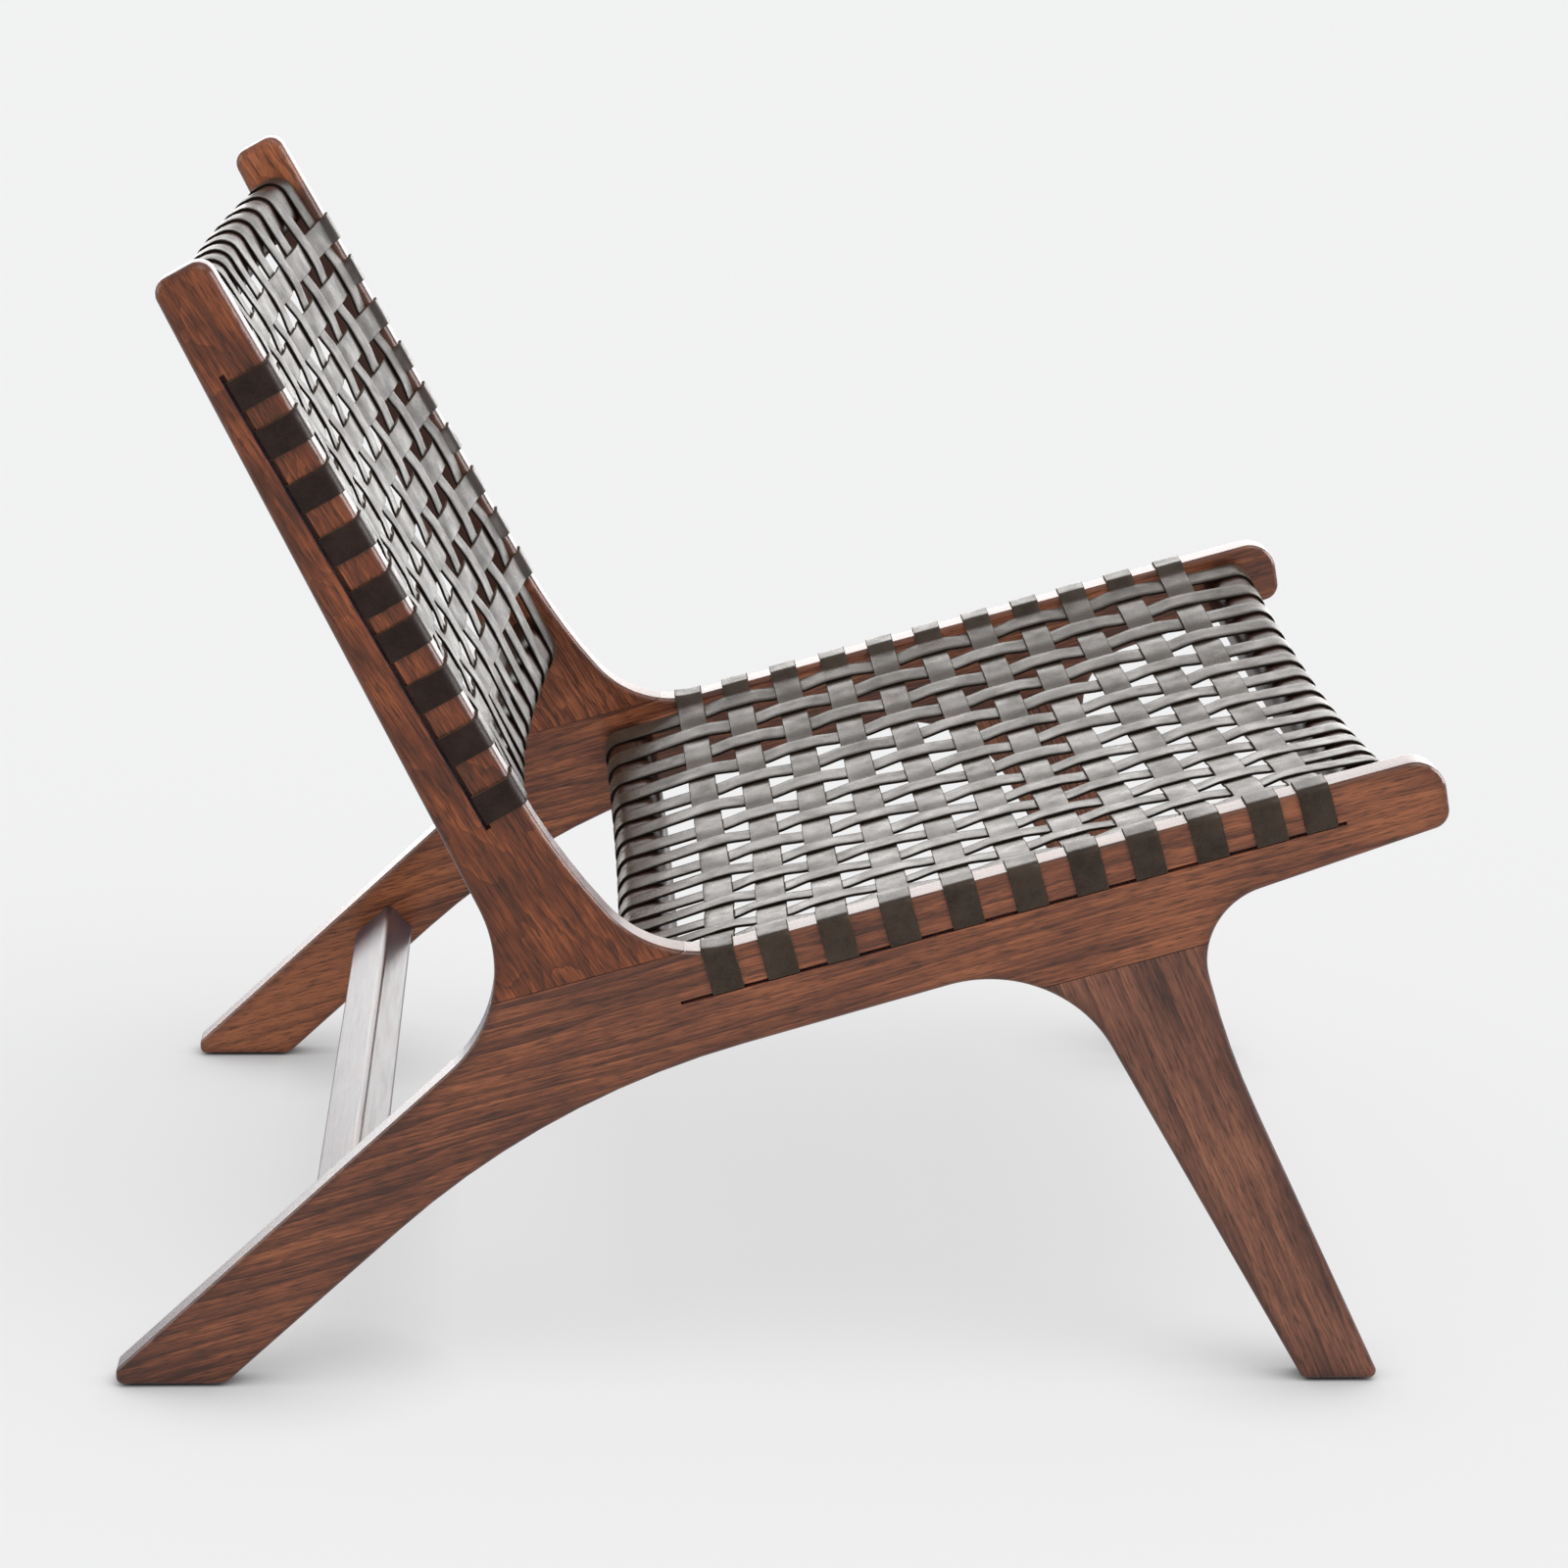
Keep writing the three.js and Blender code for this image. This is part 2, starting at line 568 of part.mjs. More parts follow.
/** All straps of one panel. The rise is that of the boards' edges above the panel's line. */
function addStraps(panel, weave, lowRail, highRail, rise, longName, crossName) {
  const onBoard = (point) => Math.abs(point.x) > innerFace && point.y > -EDGE_RADIUS;
  weave.longAt.forEach((x, i) => {
    const path = longPath(weave, i, lowRail, highRail);
    const place = (point, side) => panel.place(x + side, point.x, point.y);
    addPiece(numbered(longName, i), strap(path, place), leather);
  });
  weave.crossAt.forEach((a, k) => {
    const path = crossPath(weave, k);
    const lift = (point, side) => (onBoard(point) ? rise(a + side) : 0);
    const place = (point, side) => panel.place(point.x, a + side, point.y + lift(point, side));
    addPiece(numbered(crossName, k), strap(path, place), leather);
  });
}

for (const [name, solid] of Object.entries(sideBoards())) {
  const geometry = toGeometry(solid);
  addPiece(`right_${name}`, geometry, wood);
  addPiece(`left_${name}`, mirrored(geometry), wood);
}
for (const [name, rail] of Object.entries(rails)) {
  addPiece(name, crossRail(rail), wood);
}
addStraps(
  seat, seatWeave, rails.seat_rear_rail, rails.seat_front_rail, elbowRise,
  'seat_long_strap', 'seat_cross_strap');
addStraps(
  back, backWeave, rails.back_bottom_rail, rails.back_top_rail, () => 0,
  'back_upright_strap', 'back_cross_strap');

const middle = new THREE.Box3().setFromObject(chair).getCenter(new THREE.Vector3());
chair.position.y = -middle.y;

export default chair;
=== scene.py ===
"""Looks of a lounge chair whose seat and back are leather straps in plain weave.

Lengths are millimetres in the classes and metres in the meshes. X runs across the chair, Y to its
front and Z up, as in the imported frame.
"""

import logging
import math
from collections.abc import Callable, Iterator, Sequence
from contextlib import contextmanager
from dataclasses import dataclass, replace
from enum import Enum
from functools import partial

import bpy
from bpy.types import Material, Node, NodeSocket, NodeTree, Object
from mathutils import Matrix, Vector
from mathutils.kdtree import KDTree


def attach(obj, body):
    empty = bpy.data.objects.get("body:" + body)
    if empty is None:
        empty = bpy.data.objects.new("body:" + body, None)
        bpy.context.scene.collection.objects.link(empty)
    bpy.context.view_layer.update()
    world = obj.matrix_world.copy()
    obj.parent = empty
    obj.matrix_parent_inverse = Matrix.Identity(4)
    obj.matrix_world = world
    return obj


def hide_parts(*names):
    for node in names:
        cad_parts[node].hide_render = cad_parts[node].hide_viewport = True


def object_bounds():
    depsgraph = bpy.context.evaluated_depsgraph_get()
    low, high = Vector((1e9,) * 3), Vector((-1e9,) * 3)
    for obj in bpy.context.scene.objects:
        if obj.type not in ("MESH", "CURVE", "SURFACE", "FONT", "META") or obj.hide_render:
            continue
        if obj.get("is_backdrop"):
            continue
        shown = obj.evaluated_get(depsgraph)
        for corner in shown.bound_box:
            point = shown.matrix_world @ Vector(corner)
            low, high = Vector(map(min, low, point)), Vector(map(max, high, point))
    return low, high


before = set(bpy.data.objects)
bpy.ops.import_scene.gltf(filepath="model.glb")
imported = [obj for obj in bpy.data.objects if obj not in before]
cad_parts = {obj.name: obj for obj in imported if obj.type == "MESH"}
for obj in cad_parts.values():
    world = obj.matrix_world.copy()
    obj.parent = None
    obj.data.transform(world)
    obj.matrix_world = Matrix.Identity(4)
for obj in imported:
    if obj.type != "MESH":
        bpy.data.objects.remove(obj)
CAD_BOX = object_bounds()

MM = 0.001
# The wave texture's bands lie this far apart at scale 1.
WAVE_PERIOD = 0.314
# A corner that turns less than this, in radians, stays as it is.
STRAIGHT_TURN = 1e-4
# Points that lie closer than this are one.
SAME_POINT = 1e-3
# Per point: more stain at the boards' rounded edges, and painted shade behind the back's straps.
EDGE_STAIN_AND_SHADE = "edge_stain_and_shade"
BODY = "root"
log = logging.getLogger("chair")

Point = tuple[float, float]
Limits = tuple[float, float]
Triple = tuple[float, float, float]


class Slot(Enum):
    """The record's material slots."""

    WOOD = "stained_wood"
    LEATHER = "strap_leather"


class Board(Enum):
    """The boards of a side frame, by the end of their CAD nodes' names."""

    POST = "back_post"
    RAIL = "seat_rail"
    LEG = "front_leg"

    @property
    def piece(self) -> str:
        """The start of the piece's name."""
        return self.name.lower()


class Cut(Enum):
    """What a block leaves of the piece that it cuts."""

    INSIDE = "INTERSECT"
    OUTSIDE = "DIFFERENCE"


def smooth_step(t: float) -> float:
    """Ease from 0 to 1 with level ends."""
    t = min(max(t, 0.0), 1.0)
    return t * t * (3.0 - 2.0 * t)


def level(_: float) -> float:
    """The rise of a board's edge that is straight all along."""
    return 0.0


def linear(hex_colour: str) -> tuple[float, float, float, float]:
    """Turn an sRGB hex colour to linear light.

    Args:
        hex_colour: Six hex digits after a hash sign.

    Returns:
        Red, green, blue and full alpha.
    """
    parts = [int(hex_colour[i:i + 2], 16) / 255.0 for i in (1, 3, 5)]
    red, green, blue = (p / 12.92 if p <= 0.04045 else ((p + 0.055) / 1.055) ** 2.4 for p in parts)
    return red, green, blue, 1.0


def wire(tree: NodeTree, node: Node, inputs: dict[str | int, object]) -> None:
    """Set a node's inputs.

    Args:
        tree: The node's tree.
        node: The node.
        inputs: A value, or another node's output, for each input.
    """
    for name, value in inputs.items():
        if isinstance(value, NodeSocket):
            tree.links.new(value, node.inputs[name])
        else:
            node.inputs[name].default_value = value


def add_node(
        tree: NodeTree, kind: str, inputs: dict[str | int, object] | None = None,
        output: str = "", stops: Sequence[tuple[float, str]] = (),
        **settings: object) -> NodeSocket:
    """Add a node with its settings, values and links.

    Args:
        tree: The node tree that the node goes into.
        kind: Blender's name of the node type, without its prefix.
        inputs: A value, or another node's output, for each input.
        output: The output that is wanted, where it isn't the first in use.
        stops: A colour ramp's places from 0 to 1, with hex colours.
        settings: The node's own properties.

    Returns:
        The node's output.
    """
    node = tree.nodes.new(f"ShaderNode{kind}")
    for name, value in settings.items():
        setattr(node, name, value)
    if stops:
        elements = node.color_ramp.elements
        while len(elements) < len(stops):
            elements.new(0.5)
        for element, (place, colour) in zip(elements, stops):
            element.position = place
            element.color = linear(colour)
    wire(tree, node, inputs or {})
    return node.outputs[output] if output else next(out for out in node.outputs if out.enabled)


def new_material(name: str) -> tuple[Material, NodeTree, Node]:
    """Start a material.

    Args:
        name: The material's name.

    Returns:
        The material, its tree and its surface shader.
    """
    material = bpy.data.materials.new(name)
    material.use_nodes = True
    return material, material.node_tree, material.node_tree.nodes["Principled BSDF"]


@dataclass(frozen=True)
class Grain:
    """A layer of noise in the wood, drawn out along the grain, and the values that it spreads."""

    across_mm: float
    along_mm: float
    detail: float
    spread: Limits
    roughness: float = 0.55


@dataclass(frozen=True)
class WoodFinish:
    """Open-grained hardwood with a red-brown stain under satin varnish.

    Stain gathers in the late wood and the pores, so dark contour lines and short dashes run along
    each board, over cloudy changes of tone. The rounded edges took more stain, and the same mark
    paints shade on the posts' inner faces behind the back's straps. Some boards grow paler towards
    one end, as painted light. The varnish mirrors the room at low angles and has a bluish bloom.
    Real fibres and pores are a few tenths of a millimetre wide, too fine for the render, so they
    are drawn as coarse as they need to show.
    """

    name: str
    grain_deg: float
    lengthwise: Triple = (0.0, 1.0, 0.0)
    cut_from: Triple = (0.0, 0.0, 0.0)
    pale: str = "#a7633f"
    middle: str = "#76422b"
    deep: str = "#43251a"
    pore: str = "#2a1710"
    tone_stops: Triple = (0.2, 0.5, 0.84)
    ring_mm: float = 11.0
    ring_wander: float = 14.0
    ring_detail: float = 3.0
    ring_share: float = 0.18
    ring_strength: float = 0.55
    late_wood: float = 0.35
    figure_mm: float = 55.0
    figure_stretch: float = 7.0
    fibres: Grain = Grain(1.4, 48.0, 3.0, (0.3, 0.7))
    fibre_share: float = 0.48
    pores: Grain = Grain(1.0, 13.0, 2.0, (0.5, 0.68))
    pore_strength: float = 0.7
    pore_bump: float = 0.05
    pore_depth_mm: float = 0.14
    clouds: Grain = Grain(22.0, 80.0, 4.0, (0.28, 0.72))
    patches: Grain = Grain(40.0, 160.0, 2.0, (0.35, 0.6))
    # How strongly the edge stain and the painted shade behind the back's straps darken the wood.
    stain_and_shade_strength: float = 0.55
    roughness: float = 0.25
    roughness_spread: Limits = (-0.03, 0.05)
    ior: float = 1.45
    bloom: float = 0.22
    bloom_roughness: float = 0.3
    bloom_tint: str = "#9ccbff"
    # How much paler the wood grows between two places along it: painted light.
    paling: float = 0.0
    paling_mm: Limits = (-100.0, 400.0)

    def build(self) -> Material:
        """Make the material.

        Returns:
            The finished material.
        """
        material, tree, shader = new_material(self.name)
        along = Vector((0.0, 1.0, 0.0))
        turn = along.rotation_difference(Vector(self.lengthwise)).inverted().to_euler()
        turn.x -= math.radians(self.grain_deg)
        place = add_node(tree, "Mapping", {
            "Vector": add_node(tree, "TexCoord", output="Object"),
            "Location": self.cut_from, "Rotation": turn})
        rings = self._rings(tree, place)
        fibres, pores, clouds, patches = self._layers(tree, place)
        colour = self._tone(tree, place, clouds, fibres, rings)
        late = add_node(
            tree, "MapRange", {"Value": rings, "From Min": self.late_wood, "From Max": 0.0})
        late = add_node(tree, "Math", {0: late, 1: patches}, operation="MULTIPLY")
        # The edge mark: more stain at the rounded edges, and painted shade behind the back's
        # straps.
        edge = add_node(tree, "Attribute", output="Fac", attribute_name=EDGE_STAIN_AND_SHADE)
        stains = (
            (late, self.ring_strength, self.deep),
            (pores, self.pore_strength, self.pore),
            (edge, self.stain_and_shade_strength, self.deep),
        )
        for spots, strength, stain in stains:
            share = add_node(tree, "Math", {0: spots, 1: strength}, operation="MULTIPLY")
            colour = add_node(
                tree, "Mix", {"Factor": share, "A": colour, "B": linear(stain)}, data_type="RGBA")
        rough_low, rough_high = (self.roughness + change for change in self.roughness_spread)
        rough = add_node(
            tree, "MapRange", {"Value": fibres, "To Min": rough_low, "To Max": rough_high})
        depth = self.pore_depth_mm * MM
        bump = add_node(
            tree, "Bump", {"Height": pores, "Strength": self.pore_bump, "Distance": depth},
            invert=True)
        wire(tree, shader, {
            "Base Color": colour, "Roughness": rough, "Normal": bump, "IOR": self.ior,
            "Sheen Weight": self.bloom, "Sheen Roughness": self.bloom_roughness,
            "Sheen Tint": linear(self.bloom_tint)})
        return material

    def _rings(self, tree: NodeTree, place: NodeSocket) -> NodeSocket:
        """Draw growth lines along the grain, which bend into arches where the board cuts them flat.

        Args:
            tree: The material's tree.
            place: Places on the board, turned to its grain.

        Returns:
            A value that falls to 0 in each line of late wood.
        """
        drawn = add_node(
            tree, "Mapping", {"Vector": place, "Scale": (1.0, 1.0 / self.figure_stretch, 1.0)})
        return add_node(
            tree, "TexWave",
            {"Vector": drawn, "Scale": WAVE_PERIOD / (self.ring_mm * MM),
             "Distortion": self.ring_wander, "Detail": self.ring_detail,
             "Detail Scale": self.ring_mm / (self.figure_mm * WAVE_PERIOD)},
            "Fac", wave_type="BANDS", bands_direction="Z", wave_profile="SAW")

    def _layers(self, tree: NodeTree, place: NodeSocket) -> list[NodeSocket]:
        """Draw the layers of noise along the grain.

        Args:
            tree: The material's tree.
            place: Places on the board, turned to its grain.

        Returns:
            The fibres, pores, clouds and patches, each from 0 to 1.
        """
        layers: list[NodeSocket] = []
        for grain in (self.fibres, self.pores, self.clouds, self.patches):
            across, along = 1.0 / (grain.across_mm * MM), 1.0 / (grain.along_mm * MM)
            drawn = add_node(tree, "Mapping", {"Vector": place, "Scale": (across, along, across)})
            noise = add_node(tree, "TexNoise", {
                "Vector": drawn, "Scale": 1.0, "Detail": grain.detail,
                "Roughness": grain.roughness})
            low, high = grain.spread
            layers.append(add_node(
                tree, "MapRange", {"Value": noise, "From Min": low, "From Max": high}))
        return layers

    def _tone(
            self, tree: NodeTree, place: NodeSocket, clouds: NodeSocket, fibres: NodeSocket,
            rings: NodeSocket) -> NodeSocket:
        """Mix the wood's tones; some boards grow paler towards one end, as painted light.

        Args:
            tree: The material's tree.
            place: Places on the board, turned to its grain.
            clouds: The broad changes of tone.
            fibres: The fine ones.
            rings: The growth lines.

        Returns:
            The colour under the stains.
        """
        tone = add_node(tree, "Mix", {"Factor": self.fibre_share, "A": clouds, "B": fibres})
        tone = add_node(tree, "Mix", {"Factor": self.ring_share, "A": tone, "B": rings})
        low, high = (limit * MM for limit in self.paling_mm)
        paling = add_node(tree, "MapRange", {
            "Value": add_node(tree, "SeparateXYZ", {"Vector": place}, "Y"),
            "From Min": low, "From Max": high, "To Max": self.paling})
        tone = add_node(tree, "Math", {0: tone, 1: paling}, operation="ADD")
        stops = list(zip(self.tone_stops, (self.deep, self.middle, self.pale)))
        return add_node(tree, "ValToRGB", {"Fac": tone}, stops=stops)


@dataclass(frozen=True)
class LeatherFinish:
    """Waxed strap leather: dark, with a fine hair-cell grain and a soft sheen.

    The wax lies unevenly, so the straps are mottled, and duller where they are darker. Real hair
    cells are some tenths of a millimetre wide, and are drawn as coarse as they need to show.
    """

    name: str
    dark: str
    light: str
    roughness: float
    roughness_spread: Limits = (0.14, -0.12)
    grain_mm: float = 1.8
    grain_depth_mm: float = 0.3
    blotch_mm: float = 22.0
    blotch_detail: float = 6.0
    blotch_roughness: float = 0.65
    fibre_to_grain: float = 0.5
    fibre_detail: float = 3.0
    fibre_tone: float = 0.35
    fibre_height: float = 0.4
    mottle: Limits = (0.36, 0.64)
    bump: float = 0.28
    ior: float = 1.22
    sheen: float = 0.08
    sheen_roughness: float = 0.35
    sheen_tint: str = "#fff0cf"

    def build(self) -> Material:
        """Make the material.

        Returns:
            The finished material.
        """
        material, tree, shader = new_material(self.name)
        place = add_node(tree, "TexCoord", output="Object")
        blotches = add_node(tree, "TexNoise", {
            "Vector": place, "Scale": 1.0 / (self.blotch_mm * MM), "Detail": self.blotch_detail,
            "Roughness": self.blotch_roughness})
        cell = self.grain_mm * MM
        cells = add_node(tree, "TexVoronoi", {"Vector": place, "Scale": 1.0 / cell})
        fibres = add_node(tree, "TexNoise", {
            "Vector": place, "Scale": 1.0 / (self.fibre_to_grain * cell),
            "Detail": self.fibre_detail})
        tone = add_node(tree, "Mix", {"Factor": self.fibre_tone, "A": blotches, "B": fibres})
        low, high = self.mottle
        colour = add_node(
            tree, "ValToRGB", {"Fac": tone}, stops=((low, self.dark), (high, self.light)))
        rough_low, rough_high = (self.roughness + change for change in self.roughness_spread)
        rough = add_node(tree, "MapRange", {
            "Value": tone, "From Min": low, "From Max": high,
            "To Min": rough_low, "To Max": rough_high})
        height = add_node(tree, "Mix", {"Factor": self.fibre_height, "A": cells, "B": fibres})
        bump = add_node(tree, "Bump", {
            "Height": height, "Strength": self.bump, "Distance": self.grain_depth_mm * MM})
        wire(tree, shader, {
            "Base Color": colour, "Roughness": rough, "Normal": bump, "IOR": self.ior,
            "Sheen Weight": self.sheen, "Sheen Roughness": self.sheen_roughness,
            "Sheen Tint": linear(self.sheen_tint)})
        return material


@dataclass(frozen=True)
class PlainFinish:
    """A small hard fitting, moulded or blackened, with faint mottling."""

    name: str
    dark: str
    light: str
    roughness: float
    metallic: float = 0.0
    mottle_mm: float = 2.0
    mottle: Limits = (0.3, 0.7)

    def build(self) -> Material:
        """Make the material.

        Returns:
            The finished material.
        """
        material, tree, shader = new_material(self.name)
        place = add_node(tree, "TexCoord", output="Object")
        noise = add_node(tree, "TexNoise", {"Vector": place, "Scale": 1.0 / (self.mottle_mm * MM)})
        stops = list(zip(self.mottle, (self.dark, self.light)))
        wire(tree, shader, {
            "Base Color": add_node(tree, "ValToRGB", {"Fac": noise}, stops=stops),
            "Metallic": self.metallic, "Roughness": self.roughness})
        return material


@dataclass(frozen=True)
class Slope:
    """One slope of the chair: a runs along it, h out of its face and x across the chair."""

    origin: Point
    angle_deg: float
    turn: float = 1.0
    bow: float = 0.0
    bow_half_width: float = 1.0

    @property
    def ahead(self) -> Point:
        """The slope's direction in the side view."""
        angle = math.radians(self.angle_deg)
        return math.cos(angle), math.sin(angle)

    def flat(self, a: float, h: float) -> Point:
        """Find a point in the side view.

        Args:
            a: How far along the slope it lies.
            h: How far out of the slope's face it lies.

        Returns:
            Its y and z.
        """
        (cos, sin), out = self.ahead, h * self.turn
        return self.origin[0] + a * cos - out * sin, self.origin[1] + a * sin + out * cos

    def within(self, point: Point) -> Point:
        """Find how a point of the side view lies on the slope.

        Args:
            point: Its y and z.

        Returns:
            How far along the slope and how far out of its face it lies.
        """
        cos, sin = self.ahead
        y, z = point[0] - self.origin[0], point[1] - self.origin[1]
        return y * cos + z * sin, (z * cos - y * sin) * self.turn

    def straight(self, x: float, a: float, h: float) -> Vector:
        """A point of the chair in metres, without the bow."""
        return Vector((x, *self.flat(a, h))) * MM

    def place(self, x: float, a: float, h: float) -> Vector:
        """A point of the chair in metres; inside the side frames the face bows back."""
        hollow = self.bow * max(0.0, 1.0 - (x / self.bow_half_width) ** 2)
        return self.straight(x, a, h - hollow)


@dataclass(frozen=True)
class Plan:
    """The chair's lines, as the part's source gives them.

    A corner of the side view that is given with three values lies at the first two of them along
    and out of a slope, and is rounded by the third.
    """

    shift_y: float = 0.256
    width: float = 636.0
    thickness: float = 24.0
    edge_radius: float = 3.5
    post_edge_radius: float = 6.0
    rounder_from: Limits = (70.0, 115.0)
    joint_gap: float = 0.4
    corner: Point = (-88.9, 255.3)
    seat_deg: float = 15.9
    lean_deg: float = 29.5
    seat_bow: float = 22.0
    back_bow: float = 25.0
    foot_height: float = 1.5
    rear_edge_floor_y: float = -398.5
    rear_tip_y: float = -389.0
    rear_foot_y: float = -324.5
    front_foot: Limits = (319.5, 366.5)
    seat_length: float = 490.0
    back_length: float = 478.5
    arch_rear: Triple = (-64.0, -61.0, 510.0)
    arch_front: Triple = (246.0, -56.5, 85.0)
    knee: Triple = (328.5, -140.0, 500.0)
    leg_front: Triple = (328.0, -53.0, 44.0)
    nose_low: Triple = (486.0, -42.0, 11.0)
    nose_radius: float = 22.0
    elbow_seat: Triple = (19.0, 0.0, 70.0)
    elbow_back: Triple = (81.5, 0.0, 390.0)
    post_top_width: float = 35.5
    post_top_radius: float = 10.0
    crook: Triple = (14.0, -57.5, 84.0)
    tip_radius: float = 5.0
    foot_radius: float = 4.4
    heel_radius: float = 9.0
    post_joint: float = 5.0
    leg_joint: float = -73.5
    slot_inset: float = 24.5
    slot_margin: float = 4.0
    strap_gap: float = 0.2

    @property
    def half(self) -> float:
        """Half of the width over the side frames."""
        return self.width / 2.0

    @property
    def inner(self) -> float:
        """The inner face of a side frame, from the middle."""
        return self.half - self.thickness

    def moved(self, point: Point) -> Point:
        """A point of the source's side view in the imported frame."""
        return point[0] + self.shift_y, point[1]

    @property
    def seat(self) -> Slope:
        """The seat's slope."""
        return Slope(self.moved(self.corner), self.seat_deg, 1.0, self.seat_bow, self.inner)

    @property
    def back(self) -> Slope:
        """The back's slope."""
        return Slope(self.moved(self.corner), 90.0 + self.lean_deg, -1.0, self.back_bow, self.inner)

    @property
    def rear_leg(self) -> Slope:
        """The slope of the rear leg's upper edge.

        Returns:
            A slope that starts on the floor and leads to the crook behind the post.
        """
        foot = self.moved((self.rear_edge_floor_y, self.foot_height))
        bend = self.back.flat(*self.crook[:2])
        return Slope(foot, math.degrees(math.atan2(bend[1] - foot[1], bend[0] - foot[0])))

    def edge_rounding(self, point: Point) -> float:
        """Find how round a board's edges are: the posts are rounder than the rest.

        Args:
            point: A point of the side view.

        Returns:
            The radius of the edges there.
        """
        low, high = self.rounder_from
        share = smooth_step((self.back.within(point)[0] - low) / (high - low))
        return self.edge_radius + (self.post_edge_radius - self.edge_radius) * share

    def elbow_rise(self, a: float) -> float:
        """Find how far a board's edge stands above the seat line where the elbow runs into it.

        Args:
            a: The place along the seat.

        Returns:
            The rise there.
        """
        low, high = self.seat.flat(*self.elbow_seat[:2]), self.back.flat(*self.elbow_back[:2])
        fall = math.atan2(low[1] - high[1], low[0] - high[0])
        radius = self.elbow_seat[2]
        turn = math.radians(self.seat_deg) - fall
        away = self.elbow_seat[0] + radius * math.tan(turn / 2.0) - a
        return radius - math.sqrt(radius ** 2 - away ** 2) if away > 0.0 else 0.0

    def side_corners(self) -> list[tuple[Point, float]]:
        """List the corners of a side frame's outline.

        Returns:
            Each corner with its radius, from the rear foot's tip and on along the floor.
        """
        seat, back, foot = self.seat, self.back, self.foot_height
        tip_y, leg = self.rear_tip_y + self.shift_y, self.rear_leg
        tip_z = leg.origin[1] + (tip_y - leg.origin[0]) * math.tan(math.radians(leg.angle_deg))
        on_seat = {key: (seat.flat(*at[:2]), at[2]) for key, at in (
            ("arch_rear", self.arch_rear), ("arch_front", self.arch_front), ("knee", self.knee),
            ("leg_front", self.leg_front), ("nose_low", self.nose_low), ("elbow", self.elbow_seat))}
        return [
            ((tip_y, tip_z), self.tip_radius),
            ((tip_y, foot), self.foot_radius),
            (self.moved((self.rear_foot_y, foot)), self.heel_radius),
            on_seat["arch_rear"],
            on_seat["arch_front"],
            (self.moved((self.front_foot[0], foot)), self.foot_radius),
            (self.moved((self.front_foot[1], foot)), self.foot_radius),
            on_seat["knee"],
            on_seat["leg_front"],
            on_seat["nose_low"],
            (seat.flat(self.seat_length, 0.0), self.nose_radius),
            on_seat["elbow"],
            (back.flat(*self.elbow_back[:2]), self.elbow_back[2]),
            (back.flat(self.back_length, 0.0), self.post_top_radius),
            (back.flat(self.back_length, -self.post_top_width), self.post_top_radius),
            (back.flat(*self.crook[:2]), self.crook[2]),
        ]


def fillet(
        corners: Sequence[tuple[Point, float]], step_deg: float, step: float,
        closed: bool) -> list[Point]:
    """Round a line's corners and set points along it.

    Args:
        corners: The line's corners and the radius of each.
        step_deg: The turn between points on an arc.
        step: The most that points on a straight stretch lie apart.
        closed: Whether the line comes back to its start.

    Returns:
        The points of the rounded line.
    """
    points = [Vector(p) for p, _ in corners]
    rounded: list[Vector] = []
    for i, (_, radius) in enumerate(corners):
        here = points[i]
        if not closed and i in (0, len(points) - 1):
            rounded.append(here)
            continue
        before, after = points[i - 1] - here, points[(i + 1) % len(points)] - here
        room = 0.5 * min(before.length, after.length)
        before.normalize()
        after.normalize()
        half = 0.5 * math.acos(max(-1.0, min(1.0, before.dot(after))))
        if math.pi - 2.0 * half < STRAIGHT_TURN:
            rounded.append(here)
            continue
        reach = min(radius / math.tan(half), room)
        bend = reach * math.tan(half)
        middle = here + (before + after).normalized() * (bend / math.sin(half))
        start = here + before * reach - middle
        sweep = (math.pi - 2.0 * half) * (1.0 if before.cross(after) < 0.0 else -1.0)
        count = max(2, math.ceil(math.degrees(abs(sweep)) / step_deg))
        for k in range(count + 1):
            rounded.append(middle + Matrix.Rotation(sweep * k / count, 2) @ start)
    spaced: list[Vector] = []
    for start, end in zip(rounded, rounded[1:] + (rounded[:1] if closed else [])):
        count = max(1, math.ceil((end - start).length / step))
        spaced += [start.lerp(end, k / count) for k in range(count)]
    if not closed:
        spaced.append(rounded[-1])
    return [
        (p.x, p.y) for i, p in enumerate(spaced)
        if i == 0 or (p - spaced[i - 1]).length > SAME_POINT]


def only(piece: Object) -> None:
    """Select one piece alone and make it active.

    Args:
        piece: The piece.
    """
    bpy.ops.object.select_all(action="DESELECT")
    piece.select_set(True)
    bpy.context.view_layer.objects.active = piece


@contextmanager
def edit_mode(piece: Object) -> Iterator[None]:
    """Work on a piece in edit mode, with all of it selected.

    Args:
        piece: The piece.

    Yields:
        Nothing.
    """
    only(piece)
    bpy.ops.object.mode_set(mode="EDIT")
    bpy.ops.mesh.select_all(action="SELECT")
    yield
    bpy.ops.object.mode_set(mode="OBJECT")


def modify(piece: Object, kind: str, **settings: object) -> None:
    """Add a modifier to a piece and apply it.

    Args:
        piece: The piece.
        kind: Blender's name of the modifier type.
        settings: The modifier's properties.
    """
    only(piece)
    bpy.ops.object.modifier_add(type=kind)
    modifier = piece.modifiers[-1]
    for name, value in settings.items():
        setattr(modifier, name, value)
    bpy.ops.object.modifier_apply(modifier=modifier.name)


def named(name: str) -> Object:
    """Name the object that an operator has just made.

    Args:
        name: Its name.

    Returns:
        The object.
    """
    piece = bpy.context.object
    piece.name = name
    piece.data.name = name
    return piece


def added(name: str, operator: Callable[..., object], **settings: object) -> Object:
    """Add an object while no other is selected.

    Args:
        name: The object's name.
        operator: Blender's operator that adds it.
        settings: What the operator is given.

    Returns:
        The object.
    """
    bpy.ops.object.select_all(action="DESELECT")
    operator(**settings)
    return named(name)


